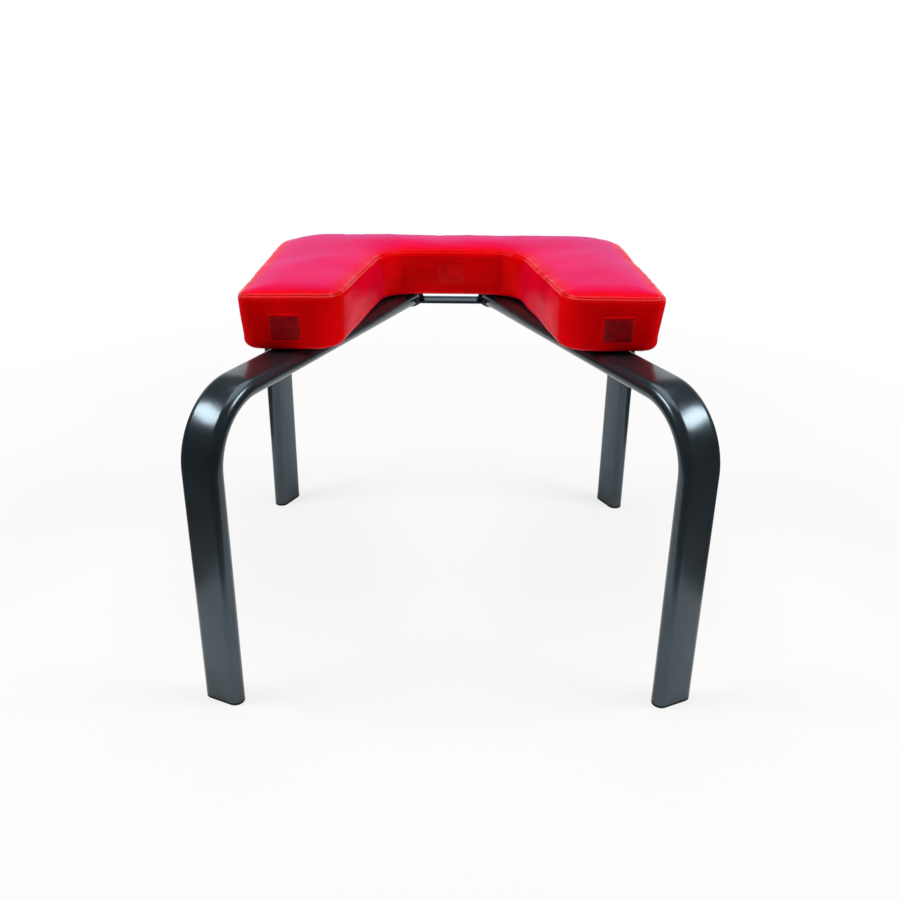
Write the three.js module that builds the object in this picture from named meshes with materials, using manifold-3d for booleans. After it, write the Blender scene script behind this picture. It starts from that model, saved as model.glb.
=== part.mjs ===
// Yoga headstand stool: a U-shaped vinyl pad bolted to a welded frame of bent flat-oval tube.
// Millimetres, +Z up, +Y to the rear, and the opening for the neck faces -Y.
// The origin lies on the floor, under the middle of the footprint.

import * as THREE from 'three';
import { mergeVertices } from 'three/addons/utils/BufferGeometryUtils.js';
import Module from 'manifold-3d';

const wasm = await Module();
wasm.setup();

// Gap kept between two pieces that touch, and how far a cutting shape runs past what it cuts
const gap = 0.3;
const overrun = 5;

// Frame tube: a flat oval that rises from its foot, bends once and runs in under the pad
const tubeWidth = 42;
const tubeThickness = 18;
const tubeWall = 1.5;
const tubeTopHeight = 322;
const tubeBendRadius = 64;

// Footprint, between the tube centres at the floor
const footSpacingAcross = 444;
const footSpacingDeep = 420;

// Apex: the mitred corner under the pad where the front and the rear tube of one side meet
const apexSpacing = 124;
const apexSetback = 124;

// Weld beads: how far they stand off the tube, and how wide they lie along it
const weldProud = 1.2;
const weldWidth = 5;

// Cross plate: the flat bar that joins the two apexes
const crossPlateDepth = 23;
const crossPlateThickness = 2.5;
const crossPlateDrop = 11.3;
const crossPlateSetback = 8.5;
const plateWeldLeg = 2.5;

// Foot plug: a flange that the tube stands on, and a hollow insert that grips its bore
const plugFlangeThickness = 2.5;
const plugEdgeRadius = 0.8;
const plugInsertLength = 20;
const plugInsertWall = 2;

// Pad in plan: widths across the whole pad, depths from its front edge
const padWidthFront = 414;
const padWidthRear = 384;
const padDepth = 260;
const padFrontSetback = 112;
const openingWidthFront = 212;
const openingWidthBack = 143;
const openingDepth = 176;
const padFrontCornerRadius = 16;
const padRearCornerRadius = 58;
const openingMouthRadius = 29;
const openingBackRadius = 34;

// Pad in section: the walls draw in towards the floor, and the top is crowned
const padThickness = 58;
const padCrown = 3;
const padUpperRadius = 8.5;
const padLowerRadius = 10;
const wallDrawIn = 3;
const openingBackDrawIn = 20;

// Pad layers
const coverThickness = 1.2;
const coverHemWidth = 15;
const dustCoverThickness = 1.5;
const dustCoverInset = 3;
const boardThickness = 12;
const boardInset = 6;
const boardChamfer = 6;

// Sewn patches on the front of each arm and on the back wall of the opening
const patchWidth = 31;
const patchHeight = 28;
const patchThickness = 1;
const patchCornerRadius = 2;
const armPatchSpacing = 319;
const armPatchDrop = 34;
const backPatchDrop = 29;

// Pad bolts: the front ones lie a setback behind the pad's front edge, the rear ones near the apex
const boltDiameter = 8;
const boltHeadDiameter = 14;
const boltHeadHeight = 4.4;
const boltHeadLand = 1.4;
const boltSocketAcrossCorners = 5.8;
const boltSocketDepth = 2.6;
const boltSocketSides = 6;
const washerDiameter = 16;
const washerThickness = 1.6;
const teeNutFlangeDiameter = 22;
const teeNutFlangeThickness = 1.6;
const teeNutBarrelDiameter = 10.2;
const teeNutBarrelLength = 8.5;
const frontBoltSetback = 37;
const rearBoltFromApex = 22;

// How finely curves are divided
const ovalSegments = 4;
const bendSteps = 10;
const cornerSteps = 6;
const edgeSteps = 3;
const roundSegments = 20;
const plugEdgeSteps = 2;

// Shares: where the rings of the crown lie on its way in from the edge, how far in it reaches, where
// the seam lies on the upper edge, and how small a corner may get
const crownShares = [0.3, 0.65, 1];
const crownReachShare = 0.9;
const seamShare = 0.5;
const smallestCornerShare = 0.06;

// Heights worked out from the stack of pieces
const tubeCentreHeight = tubeTopHeight - tubeThickness / 2;
const padUnderside = tubeTopHeight + gap + dustCoverThickness + gap;
const padTop = padUnderside + padThickness;
const boardUnderside = padUnderside + coverThickness + gap;
const boardTop = boardUnderside + boardThickness;
const boltSeat = tubeTopHeight - tubeThickness - gap - washerThickness - gap;
const padFrontEdge = padFrontSetback - footSpacingDeep / 2;

const paintedSteel = new THREE.MeshStandardMaterial({ color: 0x4a5054, roughness: 0.34, metalness: 0.75 });
const weldSteel = new THREE.MeshStandardMaterial({ color: 0x44494d, roughness: 0.45, metalness: 0.7 });
const blackPlastic = new THREE.MeshStandardMaterial({ color: 0x141415, roughness: 0.55, metalness: 0 });
const redVinyl = new THREE.MeshStandardMaterial({ color: 0xc4081c, roughness: 0.38, metalness: 0 });
const patchVinyl = new THREE.MeshStandardMaterial({ color: 0xb30a1c, roughness: 0.42, metalness: 0 });
const paleFoam = new THREE.MeshStandardMaterial({ color: 0xe8dfc4, roughness: 0.95, metalness: 0 });
const plywood = new THREE.MeshStandardMaterial({ color: 0xc9a673, roughness: 0.7, metalness: 0 });
const dustCloth = new THREE.MeshStandardMaterial({ color: 0x17171a, roughness: 0.95, metalness: 0 });
const zincSteel = new THREE.MeshStandardMaterial({ color: 0xb4b8bc, roughness: 0.35, metalness: 0.9 });

// A closed geometry, placed by a matrix, as a solid that can be cut and joined
function solid(geometry, matrix = new THREE.Matrix4()) {
  const bare = geometry.clone().applyMatrix4(matrix);
  bare.deleteAttribute('normal');
  bare.deleteAttribute('uv');
  const merged = mergeVertices(bare);
  return new wasm.Manifold(new wasm.Mesh({
    numProp: 3,
    vertProperties: merged.attributes.position.array,
    triVerts: new Uint32Array(merged.index.array),
  }));
}

// The triangles of a solid as a geometry again, without the slivers that a cut can leave
function geometryOf(body) {
  const pieces = body.decompose().sort((a, b) => b.volume() - a.volume());
  const { vertProperties, triVerts } = pieces[0].getMesh();
  const geometry = new THREE.BufferGeometry();
  geometry.setAttribute('position', new THREE.BufferAttribute(vertProperties, 3));
  geometry.setIndex(new THREE.BufferAttribute(triVerts, 1));
  geometry.computeVertexNormals();
  return geometry;
}

function namedMesh(name, geometry, material) {
  const mesh = new THREE.Mesh(geometry, material);
  mesh.name = name;
  return mesh;
}

function along(x, y, z) {
  return new THREE.Matrix4().makeTranslation(x, y, z);
}

// Upright cylinder between two heights
function post(x, y, diameter, bottom, top) {
  const cylinder = new THREE.CylinderGeometry(diameter / 2, diameter / 2, top - bottom, roundSegments);
  cylinder.rotateX(Math.PI / 2);
  return solid(cylinder, along(x, y, (top + bottom) / 2));
}

// Flat oval with its thickness along x and its width along y
function flatOval(Outline, width, thickness) {
  const radius = thickness / 2;
  const reach = width / 2 - radius;
  const outline = new Outline();
  outline.absarc(0, reach, radius, 0, Math.PI, false);
  outline.absarc(0, -reach, radius, Math.PI, 2 * Math.PI, false);
  outline.closePath();
  return outline;
}

// Centreline of a leg tube in its own plane: up from the foot, round the bend, in along +Y.
// Its stations lie at the two ends and round the bend, because the straights need none.
class LegCentreline extends THREE.Curve {
  constructor(foot, run) {
    super();
    this.foot = foot;
    this.run = run;
    this.stations = bendSteps + 2;
  }

  bendAngle(u) {
    const station = u * this.stations;
    return THREE.MathUtils.clamp((station - 1) / bendSteps, 0, 1) * (Math.PI / 2);
  }

  getPointAt(u, target = new THREE.Vector3()) {
    const angle = this.bendAngle(u);
    const station = u * this.stations;
    const springing = tubeCentreHeight - tubeBendRadius;
    const past = station - bendSteps - 1;
    target.set(0, tubeBendRadius * (1 - Math.cos(angle)), springing + tubeBendRadius * Math.sin(angle));
    if (station < 1) target.z = THREE.MathUtils.lerp(this.foot, springing, station);
    if (past > 0) target.y = THREE.MathUtils.lerp(tubeBendRadius, this.run, past);
    return target;
  }

  getTangentAt(u, target = new THREE.Vector3()) {
    const angle = this.bendAngle(u);
    return target.set(0, Math.sin(angle), Math.cos(angle));
  }
}

// Where one side's tubes stand and meet; side is -1 on the left and 1 on the right
function sidePlan(side) {
  const apex = new THREE.Vector2(side * apexSpacing / 2, apexSetback);
  const legs = {};
  for (const [end, depth] of [['front', -1], ['rear', 1]]) {
    const foot = new THREE.Vector2(side * footSpacingAcross / 2, depth * footSpacingDeep / 2);
    const run = apex.clone().sub(foot);
    legs[end] = { foot, length: run.length(), direction: run.clone().normalize() };
  }
  const nose = legs.front.direction.clone().add(legs.rear.direction).normalize();
  return { apex, legs, nose };
}

// Direction across the mitre plane, pointing away from the leg that is cut
function mitreNormal(plan, end) {
  const normal = new THREE.Vector2(-plan.nose.y, plan.nose.x);
  return normal.dot(plan.legs[end].direction) > 0 ? normal : normal.negate();
}

// Everything beyond the mitre plane, seen from one leg, with the apex as origin.
// A clearance makes it start that much before the plane, and a negative one after it.
function beyondMitre(plan, end, clearance) {
  const size = 2 * footSpacingAcross;
  const normal = mitreNormal(plan, end);
  const turn = new THREE.Matrix4().makeRotationZ(normal.angle());
  return solid(new THREE.BoxGeometry(size, size, size), turn.multiply(along(size / 2 - clearance, 0, 0)));
}

function heading(direction) {
  return direction.angle() - Math.PI / 2;
}

// Distance from the apex to a pad bolt, along the tube
function boltDistance(plan, end) {
  if (end === 'rear') return rearBoltFromApex;
  return (plan.apex.y - padFrontEdge - frontBoltSetback) / plan.legs.front.direction.y;
}

// Bolt place in plan: on the tube's centreline, back from the apex
function boltPlace(plan, end) {
  return plan.apex.clone().addScaledVector(plan.legs[end].direction, -boltDistance(plan, end));
}

// One bent leg tube, mitred at the apex and drilled for its pad bolt
function legTube(name, plan, end) {
  const { foot, length, direction } = plan.legs[end];
  const section = flatOval(THREE.Shape, tubeWidth, tubeThickness);
  section.holes.push(flatOval(THREE.Path, tubeWidth - 2 * tubeWall, tubeThickness - 2 * tubeWall));
  const path = new LegCentreline(plugFlangeThickness + gap, length + tubeWidth);
  const sweep = new THREE.ExtrudeGeometry(section, {
    extrudePath: path, steps: path.stations, curveSegments: ovalSegments,
  });
  const toLeg = new THREE.Matrix4().makeRotationZ(-heading(direction));
  const cutter = beyondMitre(plan, end, gap / 2).transform(toLeg.elements);
  const drilled = solid(sweep)
    .subtract(cutter.translate([0, length, tubeCentreHeight]))
    .subtract(post(0, length - boltDistance(plan, end), boltDiameter + 2 * gap,
      tubeTopHeight - 2 * tubeThickness, tubeTopHeight + overrun));
  const tube = namedMesh(name, geometryOf(drilled), paintedSteel);
  tube.position.set(foot.x, foot.y, 0);
  tube.rotation.z = heading(direction);
  return tube;
}

// The two straight tube ends that meet at the apex, grown all round, with the apex as origin.
// Each runs a gap past the mitre plane, so that the two join into one solid.
function apexTubes(plan, grown) {
  const section = flatOval(THREE.Shape, tubeWidth + 2 * grown, tubeThickness + 2 * grown);
  const reach = 2 * tubeWidth;
  const ends = ['front', 'rear'].map((end) => {
    const straight = new THREE.ExtrudeGeometry(section, {
      depth: 2 * reach, bevelEnabled: false, curveSegments: ovalSegments,
    });
    straight.translate(0, 0, -reach);
    straight.rotateY(Math.PI / 2);
    straight.rotateZ(plan.legs[end].direction.angle());
    return solid(straight).subtract(beyondMitre(plan, end, -gap));
  });
  return ends[0].add(ends[1]);
}

// Zone round the mitre where its weld bead lies, grown on every side but the top, which is ground
// flush with the tubes, because the pad lies on it
function beadZone(plan, grown) {
  const slab = new THREE.BoxGeometry(weldWidth + 2 * grown, 4 * tubeWidth, 2 * tubeThickness);
  slab.translate(0, 0, -tubeThickness / 2);
  slab.rotateZ(mitreNormal(plan, 'front').angle());
  return apexTubes(plan, weldProud + grown).intersect(solid(slab));
}

function mitreWeld(name, plan) {
  const bead = beadZone(plan, 0).subtract(apexTubes(plan, gap));
  const weld = namedMesh(name, geometryOf(bead), weldSteel);
  weld.position.set(plan.apex.x, plan.apex.y, tubeCentreHeight);
  return weld;
}

// What the cross plate and its welds stay clear of: the tubes and the bead round their mitre
function apexKeepOut(plan) {
  return apexTubes(plan, gap).add(beadZone(plan, gap)).translate([plan.apex.x, plan.apex.y, 0]);
}

// Height of the cross plate's underside over the tube centreline
const crossPlateLow = tubeThickness / 2 - crossPlateDrop - crossPlateThickness;

// Box in plan from the stool's middle to the apexes, as deep as the cross plate
function plateBox(from, to, low, high) {
  const box = new THREE.BoxGeometry(to - from, crossPlateDepth, high - low);
  return solid(box, along((from + to) / 2, apexSetback + crossPlateSetback, (low + high) / 2));
}

// Flat bar with both ends cut to the tubes that they butt against
function crossPlate(name, plans) {
  let bar = plateBox(-apexSpacing / 2, apexSpacing / 2, crossPlateLow, crossPlateLow + crossPlateThickness);
  for (const plan of plans) bar = bar.subtract(apexKeepOut(plan));
  const plate = namedMesh(name, geometryOf(bar), paintedSteel);
  plate.position.z = tubeCentreHeight;
  return plate;
}

// Fillet weld on top of the cross plate's end, along the nose of the mitre
function plateWeld(name, plan) {
  const side = Math.sign(plan.apex.x);
  const end = plan.apex.x - side * tubeThickness / 2;
  const [from, to] = side < 0 ? [end, 0] : [0, end];
  const low = crossPlateLow + crossPlateThickness + gap;
  const bead = plateBox(from, to, low, low + plateWeldLeg)
    .intersect(apexTubes(plan, gap + plateWeldLeg).translate([plan.apex.x, plan.apex.y, 0]))
    .subtract(apexKeepOut(plan));
  const weld = namedMesh(name, geometryOf(bead), weldSteel);
  weld.position.z = tubeCentreHeight;
  return weld;
}

// Moulded plug: a rounded flange under the tube's end and a hollow insert in its bore
function footPlug(name, plan, end) {
  const { foot, direction } = plan.legs[end];
  const trim = 2 * (tubeWall + gap);
  const prism = (width, thickness, bottom, top, edge) => {
    const shape = flatOval(THREE.Shape, width - 2 * edge, thickness - 2 * edge);
    const body = new THREE.ExtrudeGeometry(shape, {
      depth: top - bottom - 2 * edge, curveSegments: ovalSegments, bevelEnabled: edge > 0,
      bevelSize: edge, bevelThickness: edge, bevelSegments: plugEdgeSteps,
    });
    body.rotateZ(Math.PI / 2);
    return solid(body, along(0, 0, bottom + edge));
  };
  const insertTop = plugFlangeThickness + plugInsertLength;
  const flange = prism(tubeWidth, tubeThickness, 0, plugFlangeThickness, plugEdgeRadius);
  const insert = prism(tubeWidth - trim, tubeThickness - trim, plugFlangeThickness / 2, insertTop, 0);
  const hollowTrim = trim + 2 * plugInsertWall;
  const hollow = prism(tubeWidth - hollowTrim, tubeThickness - hollowTrim, plugFlangeThickness,
    insertTop + overrun, 0);
  const plug = namedMesh(name, geometryOf(flange.add(insert).subtract(hollow)), blackPlastic);
  plug.position.set(foot.x, foot.y, 0);
  plug.rotation.z = heading(direction);
  return plug;
}

// Corners of the pad in plan, anticlockwise from the left arm's outer front corner.
// Each has the radius of its corner and the draw-in of the wall that starts there.
const padRearEdge = padFrontEdge + padDepth;
const openingBackEdge = padFrontEdge + openingDepth;
const padCorners = [
  [-padWidthFront / 2, padFrontEdge, padFrontCornerRadius, wallDrawIn],
  [-openingWidthFront / 2, padFrontEdge, openingMouthRadius, wallDrawIn],
  [-openingWidthBack / 2, openingBackEdge, openingBackRadius, openingBackDrawIn],
  [openingWidthBack / 2, openingBackEdge, openingBackRadius, wallDrawIn],
  [openingWidthFront / 2, padFrontEdge, openingMouthRadius, wallDrawIn],
  [padWidthFront / 2, padFrontEdge, padFrontCornerRadius, wallDrawIn],
  [padWidthRear / 2, padRearEdge, padRearCornerRadius, wallDrawIn],
  [-padWidthRear / 2, padRearEdge, padRearCornerRadius, wallDrawIn],
].map(([x, y, radius, drawIn]) => ({ place: new THREE.Vector2(x, y), radius, drawIn }));

// Crossing of two lines, each given by a point and a direction
function crossing(p, u, q, v) {
  const between = q.clone().sub(p);
  return p.clone().addScaledVector(u, between.cross(v) / u.cross(v));
}

// Pad outline moved in by an inset; lean is the share of each wall's draw-in that applies
function padOutline(inset, lean) {
  const walls = padCorners.map((corner, i) => {
    const next = padCorners[(i + 1) % padCorners.length];
    const direction = next.place.clone().sub(corner.place).normalize();
    const inward = new THREE.Vector2(-direction.y, direction.x);
    const start = corner.place.clone().addScaledVector(inward, inset + lean * corner.drawIn);
    return { start, direction };
  });
  return padCorners.flatMap((corner, i) => {
    const before = walls[(i + walls.length - 1) % walls.length];
    const after = walls[i];
    const place = crossing(before.start, before.direction, after.start, after.direction);
    const turn = Math.atan2(before.direction.cross(after.direction), before.direction.dot(after.direction));
    const convex = Math.sign(turn);
    const radius = Math.max(corner.radius - convex * inset, smallestCornerShare * corner.radius);
    const start = place.clone().addScaledVector(before.direction, -radius * Math.tan(Math.abs(turn) / 2));
    const centre = start.clone().addScaledVector(
      new THREE.Vector2(-before.direction.y, before.direction.x), convex * radius);
    return Array.from({ length: cornerSteps + 1 }, (_, k) =>
      start.clone().rotateAround(centre, turn * k / cornerSteps));
  });
}

function padRing({ inset, lean, z }) {
  return padOutline(inset, lean).map((point) => new THREE.Vector3(point.x, point.y, z));
}

// Closed skin through rings of equally many points: capped at both ends, or joined in a loop
function loft(rings, looped = false) {
  const count = rings[0].length;
  const positions = rings.flat().flatMap((point) => point.toArray());
  const index = [];
  const joins = looped ? rings.length : rings.length - 1;
  for (let ring = 0; ring < joins; ring += 1) {
    const low = ring * count;
    const high = ((ring + 1) % rings.length) * count;
    for (let i = 0; i < count; i += 1) {
      const next = (i + 1) % count;
      index.push(low + i, low + next, high + next, low + i, high + next, high + i);
    }
  }
  if (!looped) {
    const last = (rings.length - 1) * count;
    for (const [a, b, c] of THREE.ShapeUtils.triangulateShape(rings[0], [])) index.push(c, b, a);
    for (const [a, b, c] of THREE.ShapeUtils.triangulateShape(rings.at(-1), [])) {
      index.push(last + a, last + b, last + c);
    }
  }
  const geometry = new THREE.BufferGeometry();
  geometry.setAttribute('position', new THREE.Float32BufferAttribute(positions, 3));
  geometry.setIndex(index);
  geometry.computeVertexNormals();
  return geometry;
}

// Section of the pad, in from its skin by an offset: the rounded lower edge, from the floor side
function lowerEdge(offset) {
  const radius = padLowerRadius - offset;
  return Array.from({ length: edgeSteps + 1 }, (_, k) => {
    const angle = (k / edgeSteps) * (Math.PI / 2);
    return {
      inset: padLowerRadius - radius * Math.sin(angle), lean: 1,
      z: padUnderside + padLowerRadius - radius * Math.cos(angle),
    };
  });
}

// The rounded upper edge between two angles, from the wall upwards
function upperEdge(offset, from, to) {
  const radius = padUpperRadius - offset;
  return Array.from({ length: edgeSteps }, (_, k) => {
    const angle = THREE.MathUtils.lerp(from, to, k / (edgeSteps - 1));
    return {
      inset: padUpperRadius - radius * Math.cos(angle), lean: 0,
      z: padTop - padUpperRadius + radius * Math.sin(angle),
    };
  });
}

// The crowned top, from its edge towards the middle of the narrowest part of the pad: an arm or the rear
function crown(offset) {
  const armWidth = (padWidthFront - openingWidthFront) / 2;
  const reach = crownReachShare * Math.min(padDepth - openingDepth, armWidth) / 2;
  return crownShares.map((share) => ({
    inset: THREE.MathUtils.lerp(padUpperRadius, reach, share), lean: 0,
    z: padTop - offset + padCrown * (1 - (1 - share) ** 2),
  }));
}

const seamAngle = seamShare * Math.PI / 2;
const seamGapAngle = gap / padUpperRadius;

// Upper panel of the cover, from the seam on the edge over the crown
function topPanel() {
  const side = (offset) => [...upperEdge(offset, seamAngle + seamGapAngle, Math.PI / 2), ...crown(offset)];
  const rings = [...side(coverThickness).reverse(), ...side(0)];
  return namedMesh('pad_top_panel', loft(rings.map(padRing)), redVinyl);
}

// Side band of the cover, from the seam down the walls and under the board as a hem
function sideBand(bolts) {
  const side = (offset) => [
    { inset: padLowerRadius + coverHemWidth, lean: 1, z: padUnderside + offset },
    ...lowerEdge(offset), ...upperEdge(offset, 0, seamAngle),
  ];
  const rings = [...side(0), ...side(coverThickness).reverse()];
  let band = solid(loft(rings.map(padRing), true));
  for (const { x, y } of bolts) {
    band = band.subtract(post(x, y, boltDiameter + 2 * gap, tubeTopHeight, boardTop));
  }
  return namedMesh('pad_side_band', geometryOf(band), redVinyl);
}

// Outline of the board, with its lower edge chamfered; grown makes the pocket that holds it
function boardRings(grown, bottom) {
  return [
    { inset: boardInset + boardChamfer - grown, lean: 1, z: bottom },
    { inset: boardInset + boardChamfer - grown, lean: 1, z: boardUnderside },
    { inset: boardInset - grown, lean: 1, z: boardUnderside + boardChamfer },
    { inset: boardInset - grown, lean: 1, z: boardTop + grown },
  ];
}

// Foam block that fills the cover and wraps round the board's edge
function foam() {
  const offset = coverThickness + gap;
  const rings = [...lowerEdge(offset), ...upperEdge(offset, 0, Math.PI / 2), ...crown(offset)];
  const pocket = boardRings(gap, boardUnderside - overrun);
  const block = solid(loft(rings.map(padRing))).subtract(solid(loft(pocket.map(padRing))));
  return namedMesh('pad_foam', geometryOf(block), paleFoam);
}

// Plywood board with a stepped hole for each tee nut
function baseBoard(bolts) {
  const rings = boardRings(0, boardUnderside).slice(1);
  let board = solid(loft(rings.map(padRing)));
  for (const { x, y } of bolts) {
    board = board
      .subtract(post(x, y, teeNutBarrelDiameter + 2 * gap, boardUnderside - overrun, boardTop + overrun))
      .subtract(post(x, y, teeNutFlangeDiameter + 2 * gap, boardTop - teeNutFlangeThickness - gap,
        boardTop + overrun));
  }
  return namedMesh('pad_base_board', geometryOf(board), plywood);
}

// Black cloth under the pad that hides the hem
function dustCover(bolts) {
  const sheet = new THREE.Shape(padOutline(padLowerRadius + dustCoverInset, 1));
  for (const { x, y } of bolts) {
    const hole = new THREE.Path();
    hole.absarc(x, y, boltDiameter / 2 + gap, 0, 2 * Math.PI);
    sheet.holes.push(hole);
  }
  const cloth = new THREE.ExtrudeGeometry(sheet, { depth: dustCoverThickness, bevelEnabled: false });
  const cover = namedMesh('pad_dust_cover', cloth, dustCloth);
  cover.position.z = tubeTopHeight + gap;
  return cover;
}

// Plain sewn patch that lies on a drawn-in wall, drop below the top of the pad
function patch(name, x, wallEdge, drawIn, drop) {
  const wallHeight = padThickness - padUpperRadius - padLowerRadius;
  const tilt = Math.atan2(drawIn, wallHeight);
  const halfWidth = patchWidth / 2 - patchCornerRadius;
  const halfHeight = patchHeight / 2 - patchCornerRadius;
  const outline = new THREE.Shape();
  for (const [cx, cy, quarter] of [[1, 1, 0], [-1, 1, 1], [-1, -1, 2], [1, -1, 3]]) {
    outline.absarc(cx * halfWidth, cy * halfHeight, patchCornerRadius,
      quarter * Math.PI / 2, (quarter + 1) * Math.PI / 2);
  }
  outline.closePath();
  const plate = new THREE.ExtrudeGeometry(outline, {
    depth: patchThickness, bevelEnabled: false, curveSegments: edgeSteps,
  });
  plate.translate(0, 0, gap);
  const mesh = namedMesh(name, plate, patchVinyl);
  const lean = (drop - padUpperRadius) / wallHeight;
  mesh.position.set(x, wallEdge + lean * drawIn, padTop - drop);
  mesh.rotation.x = Math.PI / 2 + tilt;
  return mesh;
}

// Solid of revolution about the upright axis, from radius and height pairs
function turned(points) {
  const profile = points.map(([radius, height]) => new THREE.Vector2(radius, height));
  const lathe = new THREE.LatheGeometry(profile, roundSegments);
  return lathe.rotateX(Math.PI / 2);
}

// Button-head bolt that comes up through the tube into the tee nut
function padBolt(name, place) {
  const shank = boltDiameter / 2;
  const head = boltHeadDiameter / 2;
  const bolt = solid(turned([
    [0, -boltHeadHeight], [head * Math.SQRT1_2, -boltHeadHeight + boltHeadLand / 2],
    [head, -boltHeadLand], [head, 0], [shank, 0], [shank, boardTop - gap - boltSeat],
    [0, boardTop - gap - boltSeat],
  ]));
  const socketRadius = boltSocketAcrossCorners / 2;
  const socket = new THREE.CylinderGeometry(socketRadius, socketRadius, 2 * boltSocketDepth, boltSocketSides);
  socket.rotateX(Math.PI / 2);
  const driven = bolt.subtract(solid(socket, along(0, 0, -boltHeadHeight)));
  const mesh = namedMesh(name, geometryOf(driven), zincSteel);
  mesh.position.set(place.x, place.y, boltSeat);
  return mesh;
}

function washer(name, place) {
  const bore = boltDiameter / 2 + gap;
  const rim = washerDiameter / 2;
  const mesh = namedMesh(name, turned([
    [bore, 0], [rim, 0], [rim, washerThickness], [bore, washerThickness], [bore, 0],
  ]), zincSteel);
  mesh.position.set(place.x, place.y, boltSeat + gap);
  return mesh;
}

// Tee nut pressed into the top of the board
function teeNut(name, place) {
  const bore = boltDiameter / 2 + gap;
  const flange = teeNutFlangeDiameter / 2;
  const barrel = teeNutBarrelDiameter / 2;
  const mesh = namedMesh(name, turned([
    [bore, 0], [barrel, 0], [barrel, teeNutBarrelLength], [flange, teeNutBarrelLength],
    [flange, teeNutBarrelLength + teeNutFlangeThickness],
    [bore, teeNutBarrelLength + teeNutFlangeThickness], [bore, 0],
  ]), zincSteel);
  mesh.position.set(place.x, place.y, boardTop - teeNutFlangeThickness - teeNutBarrelLength);
  return mesh;
}

// Depth that a foot takes up fore and aft, each side of its centre
function footReach(plan, end) {
  const across = Math.abs(plan.legs[end].direction.x);
  return (tubeWidth - tubeThickness) / 2 * across + tubeThickness / 2;
}

const plans = { left: sidePlan(-1), right: sidePlan(1) };
const frame = new THREE.Group();
const pad = new THREE.Group();
const bolts = [];
for (const [side, plan] of Object.entries(plans)) {
  for (const end of ['front', 'rear']) {
    frame.add(legTube(`${end}_${side}_leg_tube`, plan, end));
    frame.add(footPlug(`${end}_${side}_foot_plug`, plan, end));
    const place = boltPlace(plan, end);
    bolts.push(place);
    pad.add(padBolt(`${end}_${side}_pad_bolt`, place));
    pad.add(washer(`${end}_${side}_washer`, place));
    pad.add(teeNut(`${end}_${side}_tee_nut`, place));
  }
  frame.add(mitreWeld(`${side}_mitre_weld`, plan));
  frame.add(plateWeld(`${side}_plate_weld`, plan));
}
frame.add(crossPlate('cross_plate', Object.values(plans)));

pad.add(topPanel(), sideBand(bolts), foam(), baseBoard(bolts), dustCover(bolts));
pad.add(patch('left_arm_patch', -armPatchSpacing / 2, padFrontEdge, wallDrawIn, armPatchDrop));
pad.add(patch('right_arm_patch', armPatchSpacing / 2, padFrontEdge, wallDrawIn, armPatchDrop));
pad.add(patch('opening_patch', 0, openingBackEdge, openingBackDrawIn, backPatchDrop));

// The origin is in the middle of the footprint, whose rear feet reach further than its front
const stool = new THREE.Group();
stool.add(frame, pad);
stool.position.y = (footReach(plans.left, 'front') - footReach(plans.left, 'rear')) / 2;

export default stool;
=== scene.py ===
# %% [markdown]
# # A yoga headstand stool
#
# The stool is a red, U-shaped vinyl pad on a welded frame of bent, flat-oval steel tube. Its hard
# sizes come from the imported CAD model, which is loaded first and never changed. Around that frame
# this lesson builds what the eye sees: the sewn and stuffed cover, the smooth bent tubes, the
# weld beads, the plastic plugs and the surface of every material.

# %% Load the frame
import math

import bmesh
import bpy
from mathutils import Matrix, Vector, noise
from mathutils.bvhtree import BVHTree
from mathutils.geometry import delaunay_2d_cdt
from mathutils.kdtree import KDTree


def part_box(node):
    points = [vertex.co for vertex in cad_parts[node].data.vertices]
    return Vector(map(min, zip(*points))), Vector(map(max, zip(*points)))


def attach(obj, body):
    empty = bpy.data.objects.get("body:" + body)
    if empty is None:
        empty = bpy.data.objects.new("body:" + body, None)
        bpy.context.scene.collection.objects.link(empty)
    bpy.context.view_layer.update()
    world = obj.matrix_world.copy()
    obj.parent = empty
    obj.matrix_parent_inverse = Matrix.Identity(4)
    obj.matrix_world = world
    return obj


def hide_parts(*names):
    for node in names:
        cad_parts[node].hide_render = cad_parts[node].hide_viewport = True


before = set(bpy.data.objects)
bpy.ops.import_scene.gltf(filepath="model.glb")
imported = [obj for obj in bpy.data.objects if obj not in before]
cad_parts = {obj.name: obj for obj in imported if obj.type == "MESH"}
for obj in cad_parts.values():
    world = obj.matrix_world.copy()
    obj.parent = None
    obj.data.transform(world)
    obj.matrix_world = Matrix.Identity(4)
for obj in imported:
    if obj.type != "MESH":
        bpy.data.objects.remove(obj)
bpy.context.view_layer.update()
MM = 0.001

# %% [markdown]
# ## Helpers
#
# Colours are written as sRGB hex, as a colour picker shows them. Blender's shaders want linear
# light, so one function turns them. Materials are node trees, and one small function adds a node
# of any kind with its settings and links, so that a material reads as a list of its nodes.

# %% Colour and node helpers
def linear(hex_colour):
    """An sRGB hex colour such as #C4081C as linear red, green, blue and alpha."""
    def one(part):
        share = int(part, 16) / 255
        return share / 12.92 if share <= 0.04045 else ((share + 0.055) / 1.055) ** 2.4
    return (*[one(hex_colour[i:i + 2]) for i in (1, 3, 5)], 1.0)


def feed(mat, node, inputs):
    """Sets the inputs of a node: a source is linked, and any other value is typed in."""
    for key, value in inputs.items():
        if isinstance(value, bpy.types.NodeSocket):
            mat.node_tree.links.new(value, node.inputs[key])
        else:
            node.inputs[key].default_value = value


def put(mat, kind, inputs=None, output=0, **settings):
    """Adds one shader node with its settings and inputs. Returns one of its outputs."""
    node = mat.node_tree.nodes.new("ShaderNode" + kind)
    for key, value in settings.items():
        setattr(node, key, value)
    feed(mat, node, inputs or {})
    return node.outputs[output] if len(node.outputs) else node


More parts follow.
